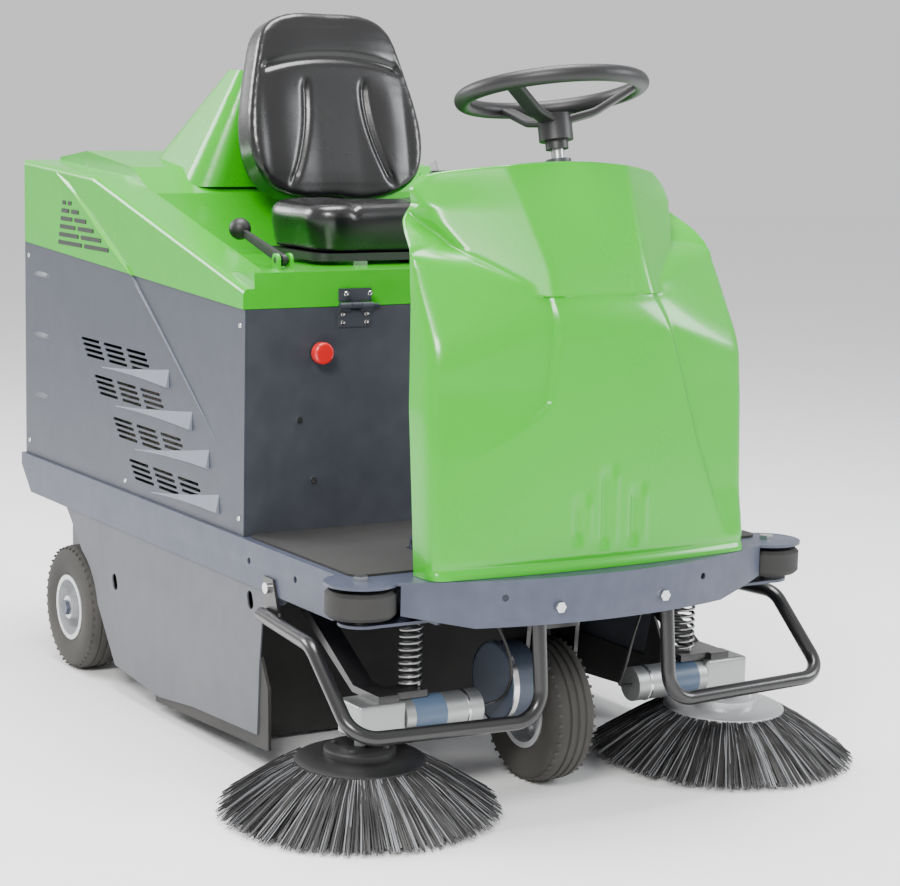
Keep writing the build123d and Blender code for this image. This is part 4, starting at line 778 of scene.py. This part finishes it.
def brushMatrix(way):
    up = Vector((way * brushSet["leanOut"], -brushSet["leanFront"], 1)).normalized()
    across = Vector((1, 0, -way * brushSet["leanOut"])).normalized()
    other = up.cross(across)
    turn = Matrix((across, other, up)).transposed().to_4x4()
    return Matrix.Translation((way * brushSet["x"], brushSet["y"], brushSet["lift"])) @ turn


def brushPlaces(seed, share):
    chance = np.random.default_rng(seed)
    places = []
    for tuft in range(brushSet["tufts"]):
        for ring in (0, 1, 2):
            middle = 2 * pi * (tuft + ring / 3) / brushSet["tufts"]
            radius = brushSet["inner"] + (brushSet["outer"] - brushSet["inner"]) * ring / 2
            for strand in range(int(brushSet["perTuft"] * share / 3)):
                angle = middle + chance.normal(0, 0.05)
                start = radius + chance.normal(0, 0.004)
                reach = brushSet["reach"] - chance.uniform(0, 0.02) - (2 - ring) * 0.02 - start
                drop = brushSet["height"] - chance.uniform(0.001, 0.010)
                point = (start * cos(angle), start * sin(angle), brushSet["height"])
                places.append((point, (0, 0, angle + chance.normal(0, 0.05)), (reach, reach, drop)))
    return places


strandPoints = [(0, 0, 0), (0.3, 0, -0.24), (0.62, 0.004, -0.57), (1, 0, -1)]
for side, way in sides.items():
    place = brushMatrix(way)
    dark = scatterMesh("darkStrands", brushPlaces(11, 0.7),
        strandTemplate("strand", strandPoints, brushSet["strand"]), "brush_bristle", 0.0, 3, place)
    pale = scatterMesh("paleStrands", brushPlaces(29, 0.3),
        strandTemplate("strand", strandPoints, brushSet["strand"]), "grey_bristle", 0.0, 5, place)

    def buildPlate(form):
        lathe(form, [(0, 0.112), (0.058, 0.112), (0.062, 0.109), (0.062, 0.098), (0.104, 0.094),
            (0.112, 0.090), (0.112, 0.084), (0.105, 0.080), (0, 0.080)], place, 72)
        for spot in range(4):
            angle = pi / 4 + spot * pi / 2
            centre = place @ Matrix.Translation((0.046 * cos(angle), 0.046 * sin(angle), 0.112))
            lathe(form, [(0, 0.005), (0.0055, 0.005), (0.006, 0.004), (0.006, -0.001), (0, -0.001)],
                centre, 6)

    plate = meshFrom("plate", buildPlate)
    # the left brush's plate is silver as a painted highlight; the same plate on the right brush is black
    # plastic
    plate.materials.append(finishes["silver_paint" if side == "left" else "black_plastic"])
    joined, labels = joinMeshes("sideBrushStrands", [plate, dark, pale])
    brushItem = finishPiece("sideBrush" + side.title(), joined, "sweeping_disc_" + side, labels, 40)
    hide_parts("side_brush_" + side)
print("side brushes done")

# core and tip are radii, and each row has so many steps along the roller
mainSet = {"y": 0.060, "z": 0.131, "half": 0.349, "core": 0.045, "tip": 0.1295, "rows": 12, "steps": 96}


def mainPlaces():
    chance = np.random.default_rng(7)
    places = []
    for row in range(mainSet["rows"]):
        for step in range(mainSet["steps"]):
            x = -mainSet["half"] + 2 * mainSet["half"] * (step + 0.5) / mainSet["steps"]
            for strand in range(4):
                angle = 2 * pi * row / mainSet["rows"] + 1.1 * abs(x) / mainSet["half"]
                angle = angle + chance.normal(0, 0.05)
                length = mainSet["tip"] - mainSet["core"] - chance.uniform(0, 0.004)
                point = (x + chance.normal(0, 0.0015), mainSet["y"] + mainSet["core"] * cos(angle),
                    mainSet["z"] + mainSet["core"] * sin(angle))
                places.append((point, (angle - pi / 2, 0, 0), (length, length, length)))
    return places


mainStrands = scatterMesh("mainStrands", mainPlaces(),
    strandTemplate("straightStrand", [(0, 0, -0.05), (0, 0, 0.5), (0, 0.01, 1)], 0.010), "brush_bristle",
    0.0, 1)


def buildCore(form):
    place = Matrix.Translation((0, mainSet["y"], mainSet["z"])) @ Matrix.Rotation(pi / 2, 4, "Y")
    lathe(form, [(0, -0.350), (0.044, -0.350), (0.046, -0.348), (0.046, 0.348), (0.044, 0.350), (0, 0.350)],
        place, 48)
    lathe(form, [(0, 0.350), (0.0125, 0.350), (0.0125, 0.370), (0, 0.370)], place, 32)
    lathe(form, [(0, -0.370), (0.0125, -0.370), (0.0125, -0.350), (0, -0.350)], place, 32)


coreMesh = meshFrom("core", buildCore)
coreMesh.materials.append(finishes["black_plastic"])
joined, labels = joinMeshes("mainBrushMesh", [coreMesh, mainStrands])
mainItem = finishPiece("mainBrush", joined, "main_sweeper", labels, 40)
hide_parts("main_brush")
print("main brush done")

tyreSet = {  # x, y, body and the CAD node that it replaces
    "rearTyreRight": (-0.4045, 0.571, "rear_wheel_right", "rear_tyre_right"),
    "rearTyreLeft": (0.4045, 0.571, "rear_wheel_left", "rear_tyre_left"),
    "frontTyre": (0.0, -0.551, "front_wheel", "front_tyre"),
}
wheelHeight = 0.130
lugSet = {"count": 44, "offset": 0.0335, "radius": 0.1245}
tyreProfile = [
    (0.068, -0.030), (0.069, -0.037), (0.080, -0.0405), (0.100, -0.0425), (0.116, -0.0405), (0.1245, -0.034),
    (0.1285, -0.026), (0.1297, -0.019), (0.1270, -0.0175), (0.1268, -0.0145), (0.1298, -0.013),
    (0.1299, -0.0035),
    (0.1270, -0.002), (0.1270, 0.002), (0.1299, 0.0035), (0.1298, 0.013), (0.1268, 0.0145), (0.1270, 0.0175),
    (0.1297, 0.019), (0.1285, 0.026), (0.1245, 0.034), (0.116, 0.0405), (0.100, 0.0425), (0.080, 0.0405),
    (0.069, 0.037), (0.068, 0.030),
]


def lugTemplate():
    def build(form):
        bmesh.ops.create_cube(form, size=1.0)
        bmesh.ops.scale(form, vec=(0.010, 0.0055, 0.0030), verts=form.verts)
        bmesh.ops.bevel(form, geom=form.edges[:], offset=0.0006, segments=1, affect="EDGES")
    return meshFrom("lug", build)


for name, (x, y, body, nodeName) in tyreSet.items():
    place = Matrix.Translation((x, y, wheelHeight)) @ Matrix.Rotation(pi / 2, 4, "Y")
    carcass = meshFrom("carcass", lambda form: lathe(form, tyreProfile, place, 128, closed=True))
    carcass.materials.append(finishes["tyre_rubber"])
    lugs = []
    for way in (-1, 1):
        for step in range(lugSet["count"]):
            angle = 2 * pi * (step + (0.5 if way > 0 else 0)) / lugSet["count"]  # the two rows alternate
            point = (x + way * lugSet["offset"], y + lugSet["radius"] * cos(angle),
                wheelHeight + lugSet["radius"] * sin(angle))
            turn = (angle - pi / 2, 0, 0)
            lugs.append((point, turn, (1, 1, 1)))
    blocks = scatterMesh("tyreLugs", lugs, lugTemplate(), "tyre_rubber", 0.0, 2)
    joined, labels = joinMeshes(name, [carcass, blocks])
    tyreItem = finishPiece(name, joined, body, labels, 35)
    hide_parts(nodeName)
print("tyres done")

springSet = {"x": 0.290, "y": -0.588, "radius": 0.0180, "wire": 0.0029, "low": 0.2125, "high": 0.4115,
    "coils": 17}


def springPoints(way):
    points = []
    steps = springSet["coils"] * 22
    for step in range(steps + 1):
        share = step / steps
        angle = 2 * pi * springSet["coils"] * share
        rise = springSet["low"] + (springSet["high"] - springSet["low"]) * share
        points.append((way * springSet["x"] + springSet["radius"] * cos(angle),
            springSet["y"] + springSet["radius"] * sin(angle), rise))
    return points


for side, way in sides.items():
    coil = meshFrom("coil", lambda form: tube(form, springPoints(way), springSet["wire"], turns=8))
    springItem = finishPiece("armSpring" + side.title(), coil, "chassis", ["steel"], 60)
    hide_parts("arm_spring_" + side)
    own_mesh(springItem)
print("springs done")


def sleeve(name, start, end, radius, wall, body, finish):
    axis = Vector(end) - Vector(start)
    turn = axis.to_track_quat("Z", "Y").to_matrix().to_4x4()
    place = Matrix.Translation(start) @ turn
    length = axis.length
    profile = [(radius, 0), (radius + wall, wall), (radius + wall, length - wall), (radius, length)]
    return finishPiece(name, meshFrom(name, lambda form: lathe(form, profile, place, 56, closed=True)),
        body, [finish])


for side, way in sides.items():
    sleeve("motorBand" + side.title(), (way * 0.300, -0.600, 0.165), (way * 0.238, -0.600, 0.165), 0.0311,
        0.0006, "arm_" + side, "label_blank")
    sleeve("motorRim" + side.title(), (way * 0.196, -0.600, 0.165), (way * 0.190, -0.600, 0.165), 0.0311,
        0.0012, "arm_" + side, "bright_steel")
sleeve("driveRing", (-0.1195, -0.584, 0.199), (-0.1075, -0.584, 0.199), 0.0700, 0.0014, "fork",
    "bright_steel")


def screwTemplate():
    def build(form):
        lathe(form, [(0.0010, 0.0006), (0.0022, 0.0020), (0.0042, 0.0017), (0.0050, 0.0008), (0.0052, 0.0),
            (0.0, 0.0)], Matrix.Identity(4), 20)
        lathe(form, [(0, 0.0006), (0.0010, 0.0006)], Matrix.Identity(4), 20)
    return meshFrom("screw", build)


panelScrews = ((-0.21, 0.45), (-0.21, 0.80), (0.30, 0.44), (0.815, 0.45), (0.815, 0.85))
screwSet = {
    "hood_front": ([(x, -0.2442, z) for x in (-0.236, -0.187, 0.187, 0.236) for z in (0.853,)],
        (pi / 2, 0, 0), "housing_hood"),
    "hinge_low": ([(x, -0.2325, z) for x in (-0.236, -0.187, 0.187, 0.236) for z in (0.800, 0.815)],
        (pi / 2, 0, 0), "chassis"),
    "panel_right": ([(-0.4322, y, z) for y, z in panelScrews], (0, -pi / 2, 0), "chassis"),
    "panel_left": ([(0.4322, y, z) for y, z in panelScrews], (0, pi / 2, 0), "chassis"),
    "rear_panel": ([(x, 0.8372, z) for x in (-0.40, 0, 0.40) for z in (0.45, 0.85)], (-pi / 2, 0, 0),
        "chassis"),
}
for name, (points, turn, body) in screwSet.items():
    heads = scatterMesh(name, [(point, turn, (1, 1, 1)) for point in points], screwTemplate(),
        "bright_steel", 0.0, 4)
    finishPiece("screws_" + name, heads, body, ["bright_steel"])


def skinRows(form, rows):
    count = len(rows[0])
    for before, after in zip(rows, rows[1:]):
        for k in range(count):
            form.faces.new((before[k], before[(k + 1) % count], after[(k + 1) % count], after[k]))
    form.faces.new(rows[0])
    form.faces.new(rows[-1][::-1])


def buildRidge(form, way, line, face):  # points along line are y, z, width and rise
    rows = []
    for y, z, width, rise in line:
        rows.append([
            form.verts.new((way * face, y + 0.75 * width, z + 0.45 * width)),
            form.verts.new((way * (face + rise * 0.6), y + 0.30 * width, z + 0.18 * width)),
            form.verts.new((way * (face + rise), y - 0.10 * width, z - 0.06 * width)),
            form.verts.new((way * (face + rise * 0.5), y - 0.24 * width, z - 0.15 * width)),
            form.verts.new((way * face, y - 0.32 * width, z - 0.20 * width)),
        ])
    skinRows(form, rows)


# the y and z in mm of each louvre group, then of its ramp's open end
rampSet = [(478, 702, 94, 670), (410, 632, -10, 603), (314, 558, -84, 542), (235, 485, -127, 465)]


def buildRamps(form, way):
    for start, top, frontY, frontZ in rampSet:
        rear = Vector((start - 60, top - 48)) / 1000
        tip = Vector((frontY, frontZ)) / 1000
        steps = 10
        rows = []
        for step in range(steps + 1):
            share = step / steps
            y, z = rear.lerp(tip, share)
            grow = share ** 1.6
            high = 0.001 + 0.015 * grow
            low = 0.001 + 0.017 * grow
            out = 0.0003 + 0.0062 * grow
            rows.append([
                form.verts.new((way * 0.4319, y, z + high)),
                form.verts.new((way * (0.4321 + out), y, z - low)),
                form.verts.new((way * 0.4319, y, z - low - 0.0025 * grow - 0.0005)),
            ])
        skinRows(form, rows)


def buildNotches(form, way):
    for z in (0.813, 0.684, 0.555):
        half = 0.048
        rows = []
        for step in range(9):
            share = step / 8
            swell = sin(pi * share) ** 0.7
            y = 0.742 - half + 2 * half * share
            rows.append([
                form.verts.new((way * 0.4319, y, z + 0.0015 + 0.006 * swell)),
                form.verts.new((way * (0.4322 + 0.0035 * swell), y, z)),
                form.verts.new((way * 0.4319, y, z - 0.0015 - 0.003 * swell)),
            ])
        skinRows(form, rows)


panelRidge = [(0.255, 0.8465, 0.050, 0.0060), (0.239, 0.833, 0.048, 0.0060), (0.131, 0.757, 0.036, 0.0050),
    (-0.005, 0.659, 0.020, 0.0034), (-0.075, 0.608, 0.010, 0.0018), (-0.130, 0.566, 0.002, 0.0003)]
hoodRidge = [(0.640, 1.030, 0.010, 0.0010), (0.551, 0.998, 0.040, 0.0040), (0.470, 0.958, 0.052, 0.0055),
    (0.381, 0.912, 0.052, 0.0060), (0.300, 0.8740, 0.050, 0.0060), (0.272, 0.8600, 0.050, 0.0060)]


def ventTemplate():
    def build(form):
        bmesh.ops.create_cube(form, size=1.0)
        bmesh.ops.scale(form, vec=(0.0024, 0.075, 0.0085), verts=form.verts)
        bmesh.ops.bevel(form, geom=form.edges[:], offset=0.0009, segments=2, affect="EDGES")
    return meshFrom("vent", build)


for side, way in sides.items():
    ridge = meshFrom("ridge", lambda form: buildRidge(form, way, panelRidge, 0.4319))
    # the panel ridge takes a lighter grey than its panel, a painted highlight
    finishPiece("panelRidge" + side.title(), ridge, "chassis", ["ridge_grey_painted_highlight"], 60)
    crest = meshFrom("crest", lambda form: buildRidge(form, way, hoodRidge, 0.4359))
    # the hood ridge takes a lighter green than the hood, a painted highlight
    finishPiece("hoodRidge" + side.title(), crest, "housing_hood", ["ridge_green_painted_highlight"], 60)
    ramps = meshFrom("ramps", lambda form: buildRamps(form, way))
    # the ramps take the same lighter grey, a painted highlight on their upward faces
    finishPiece("panelRamps" + side.title(), ramps, "chassis", ["ridge_grey_painted_highlight"], 20)
    notches = meshFrom("notches", lambda form: buildNotches(form, way))
    finishPiece("panelNotches" + side.title(), notches, "chassis", ["blue_grey_paint"], 50)
    # dark boxes on the hood side stand for the vent slots, painted shade
    slats = []
    for row in range(6):
        z = 0.891 + row * 0.0165
        share = (z - 0.879) / 0.105
        front = 0.345 + (0.590 - 0.345) * share
        rear = 0.640 - 0.030 * share
        half = (rear - front - 0.012) / 2
        for start in (front, front + half + 0.012):
            slats.append(((way * 0.4362, start + half / 2, z), (0, 0, 0), (1, half / 0.075, 1)))
    vents = scatterMesh("hoodVents", slats, ventTemplate(), "vent_painted_shade", 0.0, 6)
    finishPiece("hoodVents" + side.title(), vents, "housing_hood", ["vent_painted_shade"], 40)
print("trim done")
